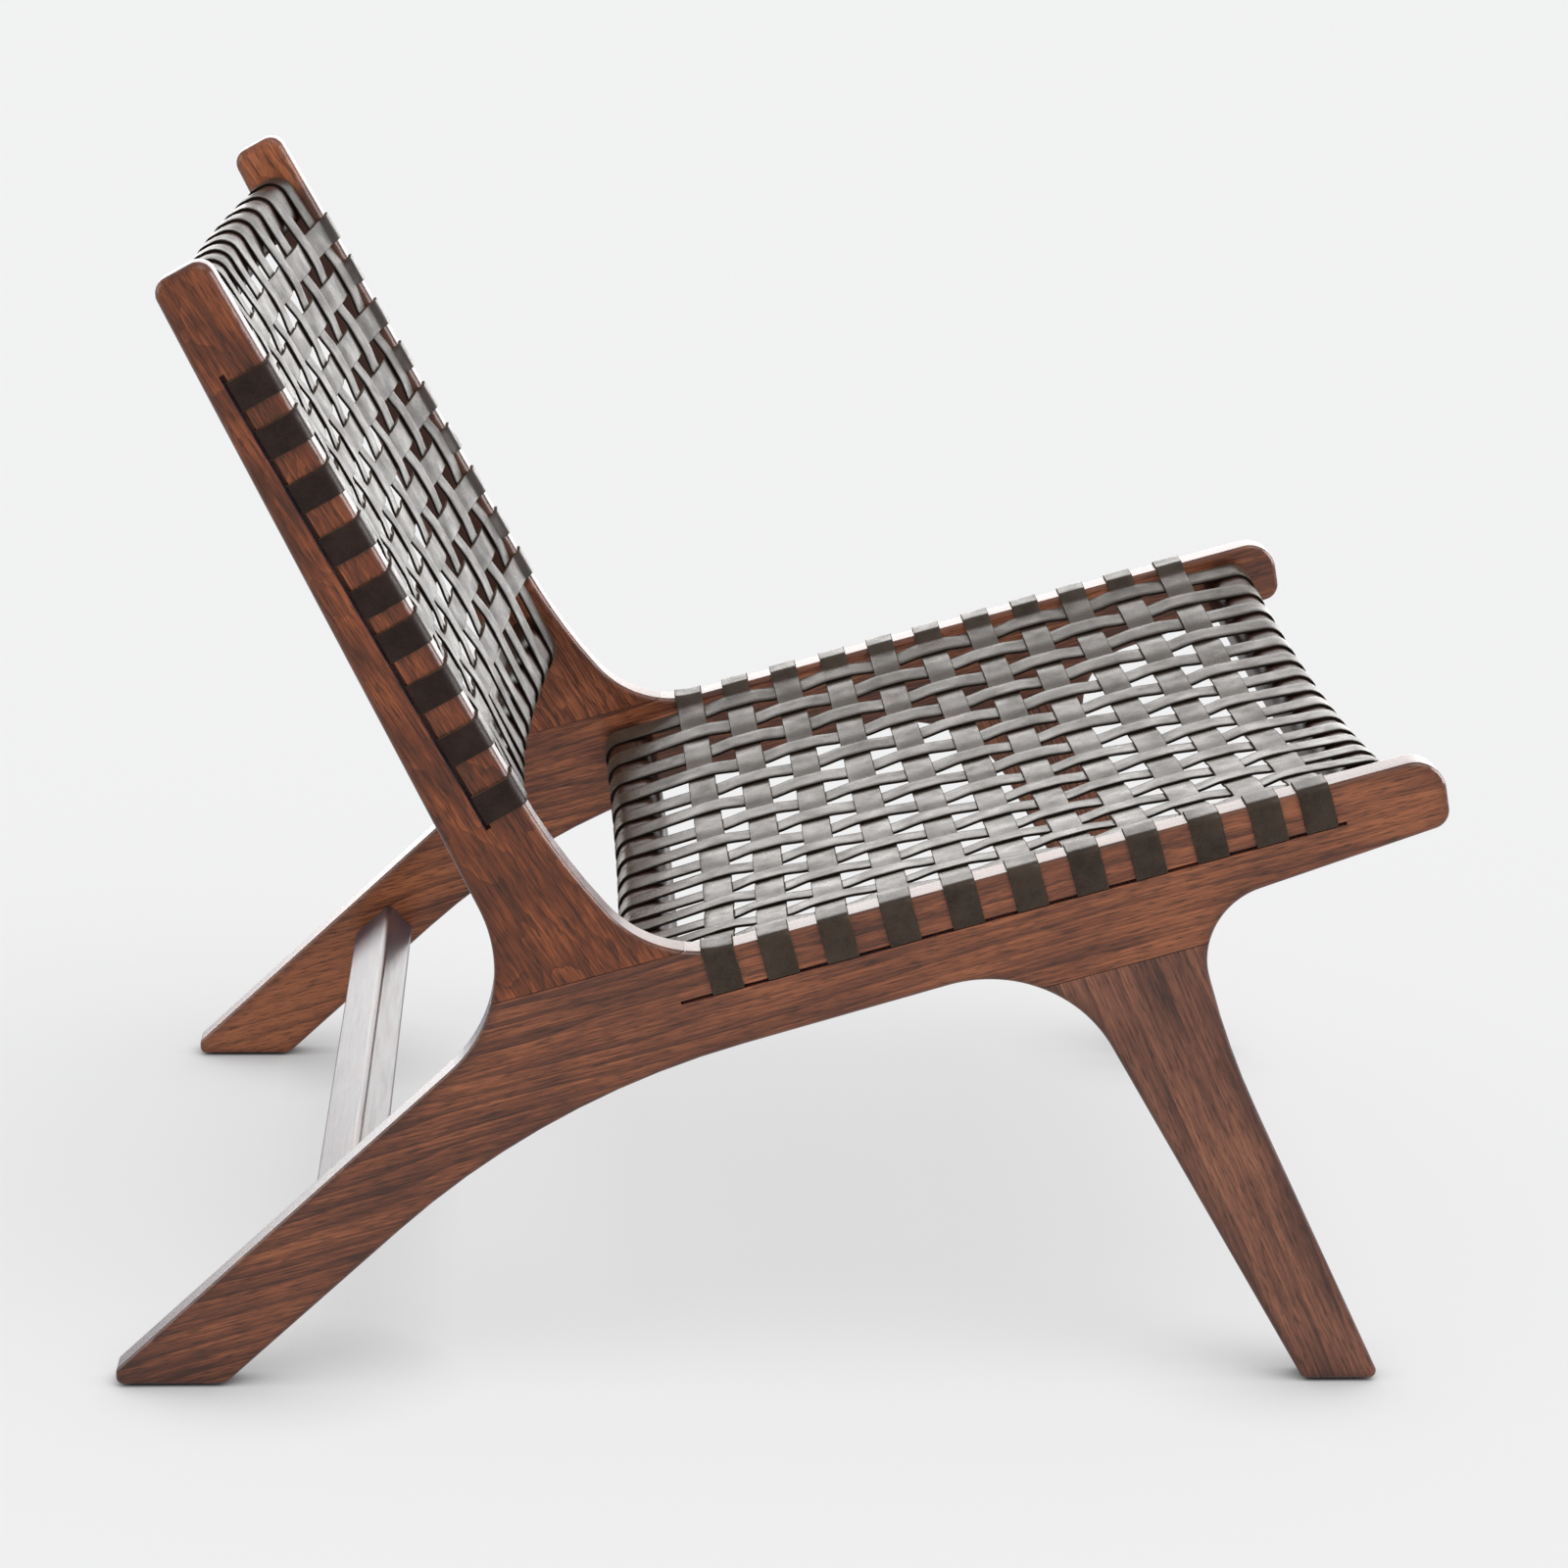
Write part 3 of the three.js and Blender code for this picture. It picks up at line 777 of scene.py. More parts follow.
def flat_face(name: str, outline: Sequence[Vector]) -> Object:
    """Add a piece that is one flat face.

    Args:
        name: The piece's name.
        outline: The face's corners.

    Returns:
        The piece.
    """
    piece = added(
        name, bpy.ops.mesh.primitive_circle_add, vertices=len(outline), radius=1.0,
        fill_type="NGON")
    for vertex, place in zip(piece.data.vertices, outline):
        vertex.co = place
    return piece


def draw_out(piece: Object, step: float, count: int = 1) -> None:
    """Extrude a flat face across the chair.

    Args:
        piece: The piece.
        step: The length of a step, in the mesh's own unit.
        count: The number of steps.
    """
    with edit_mode(piece):
        for _ in range(count):
            bpy.ops.mesh.extrude_region_move(TRANSFORM_OT_translate={"value": (step, 0.0, 0.0)})


def face_outwards(piece: Object) -> None:
    """Turn a closed piece's faces outwards."""
    with edit_mode(piece):
        bpy.ops.mesh.normals_make_consistent(inside=False)


def turn_over(piece: Object) -> None:
    """Turn all of a piece's faces round."""
    with edit_mode(piece):
        bpy.ops.mesh.flip_normals()


def block(slope: Slope, x: Limits, a: Limits, h: Limits) -> Object:
    """Add a block between limits in a slope's directions.

    Args:
        slope: The slope that the block lies along.
        x: Its limits across the chair.
        a: Its limits along the slope.
        h: Its limits out of the slope's face.

    Returns:
        The block.
    """
    cutter = added("cutter", bpy.ops.mesh.primitive_cube_add, size=2.0)
    for vertex in cutter.data.vertices:
        picks = [limits[int(c > 0.0)] for limits, c in zip((x, a, h), vertex.co)]
        vertex.co = slope.straight(*picks)
    face_outwards(cutter)
    return cutter


def carve(piece: Object, cutter: Object, cut: Cut) -> None:
    """Cut a piece with a block and remove the block."""
    modify(piece, "BOOLEAN", object=cutter, operation=cut.value, solver="EXACT")
    bpy.data.objects.remove(cutter, do_unlink=True)


def copied(piece: Object, name: str) -> Object:
    """Copy a piece with a mesh of its own.

    Args:
        piece: The piece.
        name: The copy's name.

    Returns:
        The copy.
    """
    only(piece)
    bpy.ops.object.duplicate(linked=False)
    return named(name)


def mirrored(piece: Object, name: str) -> Object:
    """Copy a piece to the other side of the chair.

    Args:
        piece: The piece.
        name: The copy's name.

    Returns:
        The copy.
    """
    other = copied(piece, name)
    for vertex in other.data.vertices:
        vertex.co.x = -vertex.co.x
    turn_over(other)
    return other


def smooth(piece: Object, angle_deg: float) -> None:
    """Shade a piece smooth up to an angle."""
    only(piece)
    bpy.ops.object.shade_smooth_by_angle(angle=math.radians(angle_deg))


def smooth_edges(piece: Object, angle_deg: float) -> None:
    """Shade a piece smooth up to an angle, and keep its flat faces flat."""
    smooth(piece, angle_deg)
    modify(piece, "WEIGHTED_NORMAL", mode="FACE_AREA", weight=100, keep_sharp=True)


def settle(piece: Object, slot: Slot, nodes: Sequence[str] = ()) -> None:
    """Ride a finished piece on the chair, hide the CAD nodes that it stands for, and log its faces.

    Args:
        piece: The finished piece.
        slot: The record's material slot; it is not used.
        nodes: The CAD nodes that the piece replaces.
    """
    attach(piece, BODY)
    if nodes:
        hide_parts(*nodes)
    log.info("%s: %d faces", piece.name, len(piece.data.polygons))


@dataclass
class SideFrames:
    """The two side frames: post, seat rail with the rear leg, and front leg.

    Each slot is given by its slope, its limits along it, and its limits about the straps' line.
    """

    plan: Plan
    slots: Sequence[tuple[Slope, Limits, Limits]]
    arc_step_deg: float = 3.0
    straight_step: float = 15.0
    edge_segments: int = 5
    smooth_deg: float = 30.0
    far: float = 2000.0
    square: float = 6.0
    stain_fade: float = 4.5
    stain_step: float = 1.5
    slot_depth: float = 9.3
    post_grain_deg: float = 3.0
    # Painted shade on the posts' inner faces behind the back's straps: its span along the back,
    # depth, fade and strength.
    painted_shade_span: Limits = (112.0, 440.0)
    painted_shade_depth: float = -6.0
    painted_shade_fade: float = 6.0
    painted_shade_strength: float = 1.7

    def build(self) -> None:
        """Shape one side as a whole board, saw it into three, and copy them across."""
        boards, finishes = self._sawn(), self._finishes()
        outline = fillet(self.plan.side_corners(), self.arc_step_deg, self.stain_step, True)
        for key in Board:
            right, right_finish, left_finish = boards[key], *finishes[key]
            right.data.materials.clear()
            right.data.materials.append(right_finish.build())
            self._cut_squares(right)
            self._stain_edges_and_shade(right, outline)
            smooth_edges(right, self.smooth_deg)
            left = mirrored(right, f"{key.piece}_left")
            left.data.materials[0] = left_finish.build()
            smooth_edges(left, self.smooth_deg)
            settle(right, Slot.WOOD, [f"right_{key.value}"])
            settle(left, Slot.WOOD, [f"left_{key.value}"])

    def _finishes(self) -> dict[Board, tuple[WoodFinish, WoodFinish]]:
        """Choose each board's finish: each board has tones of its own, and the left ones are paler
        as painted light.

        Returns:
            The finishes of the right and the left board.
        """
        post = WoodFinish(
            "stained_post", 90.0 + self.plan.lean_deg + self.post_grain_deg,
            cut_from=(0.11, 0.243, 0.02), pale="#a75d37", middle="#773f26", deep="#4f2b1c",
            ring_mm=14.0, ring_wander=24.0, figure_mm=34.0, figure_stretch=2.4,
            clouds=Grain(20.0, 40.0, 4.0, (0.28, 0.72)), roughness=0.3, ior=1.38)
        # The right rail grows paler towards its front: painted light from the front.
        rail = WoodFinish(
            "stained_rail", 16.0, cut_from=(0.06, 0.0, -0.16), ring_strength=0.65, paling=0.18)
        leg = WoodFinish(
            "stained_leg", 115.0, cut_from=(0.09, 0.0, 0.31), pale="#9b644a", middle="#774937",
            deep="#432820", ring_mm=17.0, ring_wander=6.0, ring_strength=0.35)
        # The left boards are paler: painted light on the far side. The left post grows paler still
        # towards its top, and the left rail towards its rear leg, also painted light.
        left_post = replace(
            post, name="stained_post_left", pale="#c0734b", middle="#8c5036", deep="#4f2b1d",
            paling=0.3, paling_mm=(920.0, 970.0))
        left_rail = replace(
            rail, name="stained_rail_left", pale="#ba7048", middle="#854b32", deep="#4c2a1e",
            paling=0.4, paling_mm=(-80.0, -260.0))
        left_leg = replace(
            leg, name="stained_leg_left", pale="#b0714f", middle="#8a543c", deep="#4c2a20")
        return {
            Board.POST: (post, left_post),
            Board.RAIL: (rail, left_rail),
            Board.LEG: (leg, left_leg),
        }

    def _sawn(self) -> dict[Board, Object]:
        """Saw the right side frame into its boards, with a fine gap at each joint.

        Returns:
            The three boards.
        """
        whole, gap = self._whole(), self.plan.joint_gap / 2.0
        boards = {Board.RAIL: whole}
        for key in (Board.POST, Board.LEG):
            boards[key] = copied(whole, f"{key.piece}_right")
            carve(boards[key], self._zone(key, -gap), Cut.INSIDE)
        for key in (Board.POST, Board.LEG):
            carve(whole, self._zone(key, gap), Cut.OUTSIDE)
        whole.name = whole.data.name = f"{Board.RAIL.piece}_right"
        return boards

    def _zone(self, key: Board, past: float) -> Object:
        """Add the block that holds the post or the front leg.

        Args:
            key: Which of the two.
            past: How far the block reaches past the joint with the rail.

        Returns:
            The block.
        """
        plan, far, across = self.plan, self.far, (0.0, self.plan.width)
        if key is Board.POST:
            return block(plan.seat, across, (-far, far), (plan.post_joint - past, far))
        leg_from = (plan.arch_front[0] + plan.arch_rear[0]) / 2.0
        return block(plan.seat, across, (leg_from, far), (-far, plan.leg_joint + past))

    def _whole(self) -> Object:
        """Shape one side frame as a single board with rounded edges and strap slots.

        Returns:
            The board.
        """
        plan = self.plan
        outline = fillet(plan.side_corners(), self.arc_step_deg, self.straight_step, True)
        board = flat_face("whole_side", [Vector((plan.inner, y, z)) * MM for y, z in outline])
        draw_out(board, plan.thickness * MM)
        face_outwards(board)
        self._weigh_edges(board)
        modify(
            board, "BEVEL", width=plan.post_edge_radius * MM, segments=self.edge_segments,
            limit_method="WEIGHT", use_clamp_overlap=False)
        across = (plan.half - self.slot_depth, plan.width)
        for slope, along, (low, high) in self.slots:
            out = (low - plan.slot_inset, high - plan.slot_inset)
            carve(board, block(slope, across, along, out), Cut.OUTSIDE)
        return board

    def _weigh_edges(self, board: Object) -> None:
        """Note on each edge of the outline how round it becomes.

        Args:
            board: The board, with sharp edges still.
        """
        places = [vertex.co / MM for vertex in board.data.vertices]
        weights = board.data.attributes.new("bevel_weight_edge", "FLOAT", "EDGE")
        for edge, weight in zip(board.data.edges, weights.data):
            start, end = (places[i] for i in edge.vertices)
            if abs(start.x - end.x) < self.plan.thickness / 2.0:
                middle = (start + end) / 2.0
                radius = self.plan.edge_rounding((middle.y, middle.z))
                weight.value = radius / self.plan.post_edge_radius

    def _cut_squares(self, board: Object) -> None:
        """Cut a board into small squares, over which the edge stain and the painted shade can fade.

        Args:
            board: The board.
        """
        places = [vertex.co.copy() for vertex in board.data.vertices]
        with edit_mode(board):
            for axis in (1, 2):
                low, high = min(p[axis] for p in places), max(p[axis] for p in places)
                count = math.ceil((high - low) / (self.square * MM))
                for k in range(1, count):
                    at, along = Vector(), Vector()
                    at[axis], along[axis] = low + (high - low) * k / count, 1.0
                    bpy.ops.mesh.select_all(action="SELECT")
                    bpy.ops.mesh.bisect(plane_co=at, plane_no=along)

    def _stain_edges_and_shade(self, board: Object, outline: Sequence[Point]) -> None:
        """Note on each point of a board its edge stain and its painted shade behind the back's
        straps.

        Args:
            board: The finished board.
            outline: The outline of the whole side frame.
        """
        tree = KDTree(len(outline))
        for i, (y, z) in enumerate(outline):
            tree.insert((0.0, y, z), i)
        tree.balance()
        fade = self.plan.edge_radius + self.stain_fade
        stain = board.data.attributes.new(EDGE_STAIN_AND_SHADE, "FLOAT", "POINT")
        for vertex, value in zip(board.data.vertices, stain.data):
            x, y, z = vertex.co / MM
            _, _, away = tree.find((0.0, y, z))
            # The larger of the edge stain and the painted shade behind the back's straps.
            value.value = max(1.0 - smooth_step(away / fade), self._painted_shade(x, (y, z)))

    def _painted_shade(self, x: float, point: Point) -> float:
        """Find how much painted shade darkens a post's inner face behind the back's straps.

        Args:
            x: The place across the chair.
            point: The place in the side view.

        Returns:
            The painted shade on an inner face, and none elsewhere.
        """
        a, h = self.plan.back.within(point)
        low, high = self.painted_shade_span
        inside = smooth_step(min(a - low, high - a, -h - self.painted_shade_depth) / self.painted_shade_fade)
        is_inner = x < self.plan.inner + self.plan.post_edge_radius
        return self.painted_shade_strength * inside if is_inner else 0.0


@dataclass(frozen=True)
class RailPlace:
    """A cross rail's limits along and out of the slope that it carries, and its rounding."""

    slope: Slope
    along: Limits
    out: Limits
    radius: float


@dataclass
class CrossRails:
    """The rails between the side frames: four bowed ones under the straps, and the stretcher.

    The bowed rails under the straps get darker, duller tones: painted shade where the straps keep
    the light off. The stretcher lies open, and its varnish mirrors the room.
    """

    plan: Plan
    places: dict[str, RailPlace]
    stations: int = 40
    corner_step_deg: float = 15.0
    straight_step: float = 100.0
    end_gap: float = 0.1
    smooth_deg: float = 30.0
    open_rail: str = "rear_stretcher"
    # The covered rails' darker tones are painted shade.
    shaded_covered_finish: WoodFinish = WoodFinish(
        "stained_and_shaded_covered_rail", 0.0, (1.0, 0.0, 0.0), pale="#4c2c1e", middle="#392116",
        deep="#22130d", roughness=0.4, ior=1.3, bloom=0.0)
    open_finish: WoodFinish = WoodFinish(
        "stained_open_rail", 0.0, (1.0, 0.0, 0.0), pale="#744630", middle="#553121",
        deep="#361e15", roughness=0.31, ior=1.5, bloom=0.3)
    cut_first: Triple = (0.07, 0.0, 0.05)
    cut_step: Triple = (0.013, 0.0, -0.02)

    def build(self) -> None:
        """Extrude each rail across the chair and give it grain of its own."""
        for i, (node, place) in enumerate(self.places.items()):
            rail = self._rail(node.replace("_rail", "_bar"), place)
            finish = self.open_finish if node == self.open_rail else self.shaded_covered_finish
            cut_from = tuple(c + step * i for c, step in zip(self.cut_first, self.cut_step))
            finish = replace(finish, name=f"stained_{node}", cut_from=cut_from)
            rail.data.materials.append(finish.build())
            smooth_edges(rail, self.smooth_deg)
            settle(rail, Slot.WOOD, [node])

    def _rail(self, name: str, place: RailPlace) -> Object:
        """Draw one rail's section from end to end and bow it.

        Args:
            name: The rail's name.
            place: Its place.

        Returns:
            The rail.
        """
        (a0, a1), (h0, h1) = place.along, place.out
        corners = [((a, h), place.radius) for a, h in ((a0, h0), (a1, h0), (a1, h1), (a0, h1))]
        section = fillet(corners, self.corner_step_deg, self.straight_step, True)
        end = self.plan.inner - self.end_gap
        rail = flat_face(name, [Vector((-end, a, h)) for a, h in section])
        draw_out(rail, 2.0 * end / self.stations, self.stations)
        for vertex in rail.data.vertices:
            vertex.co = place.slope.place(*vertex.co)
        face_outwards(rail)
        return rail


@dataclass(frozen=True)
class Wander:
    """A slow wave along a strap, which begins elsewhere on every strap."""

    size: float
    per_mm: float
    per_strap: float

    def at(self, place: float, strap: int) -> float:
        """The wave's height at a place along one strap."""
        return self.size * math.sin(self.per_mm * place + self.per_strap * strap)


@dataclass
class StrapWeave:
    """One woven panel: straps along a slope and straps across it, over and under in turn.

    A path is a strap's middle line: its length runs along or across the slope, and its height
    out of the slope's face. The straps wander and twist a little, as hand-laid straps do.
    """

    plan: Plan
    slope: Slope
    low_rail: RailPlace
    high_rail: RailPlace
    long_name: str
    cross_name: str
    long_count: int
    cross_at: Sequence[float]
    drift: Sequence[float]
    rise: Callable[[float], float]
    long_width: float
    board_edge: float
    outward: float = 0.0
    cross_width: float = 19.0
    thickness: float = 1.6
    sink: float = 4.5
    amplitude: float = 1.0
    flat_half: float = 7.5
    long_wander: Wander = Wander(0.9, 0.011, 2.1)
    long_twist: Wander = Wander(0.02, 0.047, 2.4)
    cross_wander: Wander = Wander(0.7, 0.013, 1.7)
    cross_twist: Wander = Wander(0.02, 0.041, 1.9)
    twist_fade: float = 30.0
    untwisted: float = 20.0
    climb: float = 14.0
    climb_bend: float = 9.0
    tuck: float = 8.5
    slot_bend: float = 1.8
    side_clearance: float = 1.0
    step: float = 4.0
    fewest_steps: int = 4
    arc_step_deg: float = 15.0
    columns: int = 4
    cut_round: float = 0.45
    cut_segments: int = 2
    cut_deg: float = 60.0
    smooth_deg: float = 40.0

    @property
    def offset(self) -> float:
        """From a surface to the middle of a strap that lies on it."""
        return self.plan.strap_gap + self.thickness / 2.0

    @property
    def long_at(self) -> list[float]:
        """Where the straps along the slope lie across the chair.

        Returns:
            Even places, with the outermost two moved towards the boards.
        """
        pitch = 2.0 * self.plan.inner / self.long_count
        places = [(i - (self.long_count - 1) / 2.0) * pitch for i in range(self.long_count)]
        return [places[0] - self.outward, *places[1:-1], places[-1] + self.outward]

    def height(self, i: int, k: int, is_cross: bool) -> float:
        """A strap's height at a crossing: over where the two counts add to an even number."""
        over = ((i + k) % 2 == 0) == is_cross
        return -self.sink + (self.amplitude if over else -self.amplitude)

    def build(self, long_finish: Sequence[Material], cross_finish: Sequence[Material]) -> None:
        """Make every strap of the panel.

        Args:
            long_finish: The materials of a long strap's face, its back and its cut edges.
            cross_finish: The same of a strap across.
        """
        crosses = range(len(self.cross_at))
        for i, x in enumerate(self.long_at):
            crossings = [(self._across_at(k, x), self.height(i, k, False)) for k in crosses]
            self._strap(
                f"{self.long_name}_{i + 1:02d}", self._long_path(crossings), self.long_width,
                partial(self._long_place, i, x), long_finish)
        for k in crosses:
            crossings = [(x, self.height(i, k, True)) for i, x in enumerate(self.long_at)]
            self._strap(
                f"{self.cross_name}_{k + 1:02d}", self._cross_path(crossings), self.cross_width,
                partial(self._cross_place, k), cross_finish)

    def _across_at(self, k: int, x: float) -> float:
        """Where a strap across the slope lies: it drifts towards the right side."""
        share = 0.5 + 0.5 * max(-1.0, min(1.0, x / self.plan.inner))
        return self.cross_at[k] + self.drift[k] * share + self.cross_wander.at(x, k)

    def _long_place(self, i: int, x: float, point: Point, side: float) -> Vector:
        """Place a point of a strap along the slope.

        Args:
            i: The strap's count.
            x: The strap's place across the chair.
            point: The point of its path.
            side: How far from its middle line the point lies.

        Returns:
            The point in metres.
        """
        a, h = point
        free = smooth_step(min(a - self.cross_at[0], self.cross_at[-1] - a) / self.twist_fade)
        lift = free * side * self.long_twist.at(a, i)
        return self.slope.place(x + side + self.long_wander.at(a, i), a, h + lift)

    def _cross_place(self, k: int, point: Point, side: float) -> Vector:
        """Place a point of a strap across the slope, on the panel or up on the boards.

        Args:
            k: The strap's count.
            point: The point of its path.
            side: How far from its middle line the point lies.

        Returns:
            The point in metres.
        """
        x, h = point
        a, outside = self._across_at(k, x) + side, abs(x) - self.plan.inner
        free = smooth_step(-(outside + self.untwisted) / self.twist_fade)
        lift = free * side * self.cross_twist.at(x, k)
        climbed = smooth_step((outside + self.climb) / self.climb)
        climbed *= smooth_step(1.0 + h / self.plan.slot_inset)
        return self.slope.place(x, a, h + lift + climbed * self.rise(a))

    def _woven(self, crossings: Sequence[Point]) -> list[Point]:
        """Draw the path through the crossings, level on each and eased between them.

        Args:
            crossings: The places and heights of the crossings.

        Returns:
            The path.
        """
        line: list[Point] = []
        for (u0, h0), (u1, h1) in zip(crossings, crossings[1:]):
            count = max(self.fewest_steps, math.ceil((u1 - u0) / self.step))
            for n in range(count):
                u = u0 + (u1 - u0) * n / count
                t = (u - u0 - self.flat_half) / (u1 - u0 - 2.0 * self.flat_half)
                line.append((u, h0 + (h1 - h0) * smooth_step(t)))
        return line + [crossings[-1]]

    @staticmethod
    def _touch_corner(middle: Point, radius: float, start: Point, end_angle: float) -> Point:
        """Find where the tangent from a point meets the tangent at an angle of a circle.

        Args:
            middle: The circle's middle.
            radius: The circle's radius.
            start: The point.
            end_angle: The angle, in radians.

        Returns:
            The corner between the two tangents.
        """
        away = Vector(start) - Vector(middle)
        angle = math.atan2(away.y, away.x) % (2.0 * math.pi)
        touch = angle - math.acos(radius / away.length)
        reach = radius / math.cos((touch - end_angle) / 2.0)
        mean = (touch + end_angle) / 2.0
        return middle[0] + reach * math.cos(mean), middle[1] + reach * math.sin(mean)

    def _over_board(self, crossing: Point) -> list[Point]:
        """Lead a strap from its last crossing over the right board and down into its slot.

        Args:
            crossing: The last crossing.

        Returns:
            The path after the crossing.
        """
        plan, edge, radius = self.plan, self.board_edge, self.board_edge + self.offset
        clear = (crossing[0] + self.long_width / 2.0 + self.side_clearance, crossing[1])
        corner = self._touch_corner((plan.inner + edge, -edge), radius, clear, math.pi / 2.0)
        face = plan.half + self.offset
        corners = [
            (crossing, 0.0), (clear, self.climb_bend), (corner, radius),
            ((face, self.offset), radius), ((face, -plan.slot_inset), self.slot_bend),
            ((plan.half - self.tuck, -plan.slot_inset), 0.0),
        ]
        return fillet(corners, self.arc_step_deg, self.step, False)[1:]

    def _round_rail(self, rail: RailPlace, crossing: Point) -> list[Point]:
        """Lead a strap from its last crossing round the far side of a rail to the tail under it.

        Args:
            rail: The rail.
            crossing: The last crossing.

        Returns:
            The path after the crossing.
        """
        radius = rail.radius + self.offset
        (a0, a1), (h0, h1) = rail.along, rail.out
        middle = (a1 - rail.radius, h1 - rail.radius)
        low = (a1 + self.offset, h0 - self.offset)
        corners = [
            (crossing, 0.0), (self._touch_corner(middle, radius, crossing, 0.0), radius),
            (low, radius), ((0.5 * (a0 + a1), low[1]), 0.0),
        ]
        return fillet(corners, self.arc_step_deg, self.step, False)[1:]

    def _cross_path(self, crossings: Sequence[Point]) -> list[Point]:
        """Draw a strap's path across the panel, from slot to slot.

        Args:
            crossings: The places and heights of its crossings.

        Returns:
            The path.
        """
        right = self._over_board(crossings[-1])
        left = self._over_board((-crossings[0][0], crossings[0][1]))
        return [(-x, h) for x, h in reversed(left)] + self._woven(crossings) + right

    def _long_path(self, crossings: Sequence[Point]) -> list[Point]:
        """Draw a strap's path along the panel, from rail to rail.

        Args:
            crossings: The places and heights of its crossings.

        Returns:
            The path.
        """
        near, far = self.low_rail.along
        flipped = replace(self.low_rail, along=(-far, -near))
        start = self._round_rail(flipped, (-crossings[0][0], crossings[0][1]))
        end = self._round_rail(self.high_rail, crossings[-1])
        return [(-a, h) for a, h in reversed(start)] + self._woven(crossings) + end

    def _strap(
            self, node: str, path: Sequence[Point], width: float,
            place: Callable[[Point, float], Vector], finish: Sequence[Material]) -> None:
        """Lay one strip along its path, give it its thickness and ease its cut edges.

        Args:
            node: The CAD node that the strap replaces.
            path: The strap's path.
            width: The strap's width.
            place: Places a point of the path, at a distance to the side.
            finish: The materials of its face, its back and its cut edges.
        """
        rows = len(path) - 1
        strap = added(
            node.replace("_strap", "_leather"), bpy.ops.mesh.primitive_grid_add,
            x_subdivisions=self.columns, y_subdivisions=rows, size=2.0)
        for vertex in strap.data.vertices:
            row = round((vertex.co.y + 1.0) / 2.0 * rows)
            vertex.co = place(path[row], vertex.co.x * width / 2.0)
        middle = strap.data.polygons[len(strap.data.polygons) // 2]
        out = self.slope.straight(0.0, 0.0, 1.0) - self.slope.straight(0.0, 0.0, 0.0)
        if middle.normal.dot(out) < 0.0:
            turn_over(strap)
        for material in finish:
            strap.data.materials.append(material)
        modify(
            strap, "SOLIDIFY", thickness=self.thickness * MM, offset=0.0, use_even_offset=True,
            material_offset=1, material_offset_rim=2)
        modify(
            strap, "BEVEL", width=self.cut_round * MM, segments=self.cut_segments,
            limit_method="ANGLE", angle_limit=math.radians(self.cut_deg), use_clamp_overlap=True,
            material=2)
        smooth(strap, self.smooth_deg)
        settle(strap, Slot.LEATHER, [node])


@dataclass
class Glides:
    """Domed nail glides in the middle of each foot."""

    plan: Plan
    radius: float = 8.0
    flat_radius: float = 5.5
    sides: int = 32
    rim_round: float = 0.6
    rim_segments: int = 3
    rim_deg: float = 25.0
    smooth_deg: float = 35.0

    def build(self) -> None:
        """Turn one glide and copy it to each foot."""
        plan = self.plan
        rear = (plan.rear_tip_y + plan.rear_foot_y) / 2.0 + plan.shift_y
        front = sum(plan.front_foot) / 2.0 + plan.shift_y
        x = plan.half - plan.thickness / 2.0
        first = self._glide()
        for end, y in (("rear", rear), ("front", front)):
            for side, across in (("right", x), ("left", -x)):
                glide = copied(first, f"glide_{end}_{side}")
                for vertex in glide.data.vertices:
                    vertex.co += Vector((across, y, 0.0)) * MM
                settle(glide, Slot.WOOD)
        bpy.data.objects.remove(first, do_unlink=True)

    def _glide(self) -> Object:
        """Make one glide about the origin: a disc whose lower rim is rounded.

        Returns:
            The glide.
        """
        height = self.plan.foot_height * MM
        glide = added(
            "glide", bpy.ops.mesh.primitive_cylinder_add, vertices=self.sides,
            radius=self.radius * MM, depth=height, location=(0.0, 0.0, height / 2.0))
        bpy.ops.object.transform_apply(location=True, rotation=True, scale=True)
        for vertex in glide.data.vertices:
            if vertex.co.z < height / 2.0:
                vertex.co.xy *= self.flat_radius / self.radius
        modify(
            glide, "BEVEL", width=self.rim_round * MM, segments=self.rim_segments,
            limit_method="ANGLE", angle_limit=math.radians(self.rim_deg))
        # Moulded nylon is dark and satin, with no grain.
        finish = PlainFinish("moulded_nylon_glide", "#2a211c", "#3b3029", 0.45)
        glide.data.materials.append(finish.build())
        smooth_edges(glide, self.smooth_deg)
        return glide


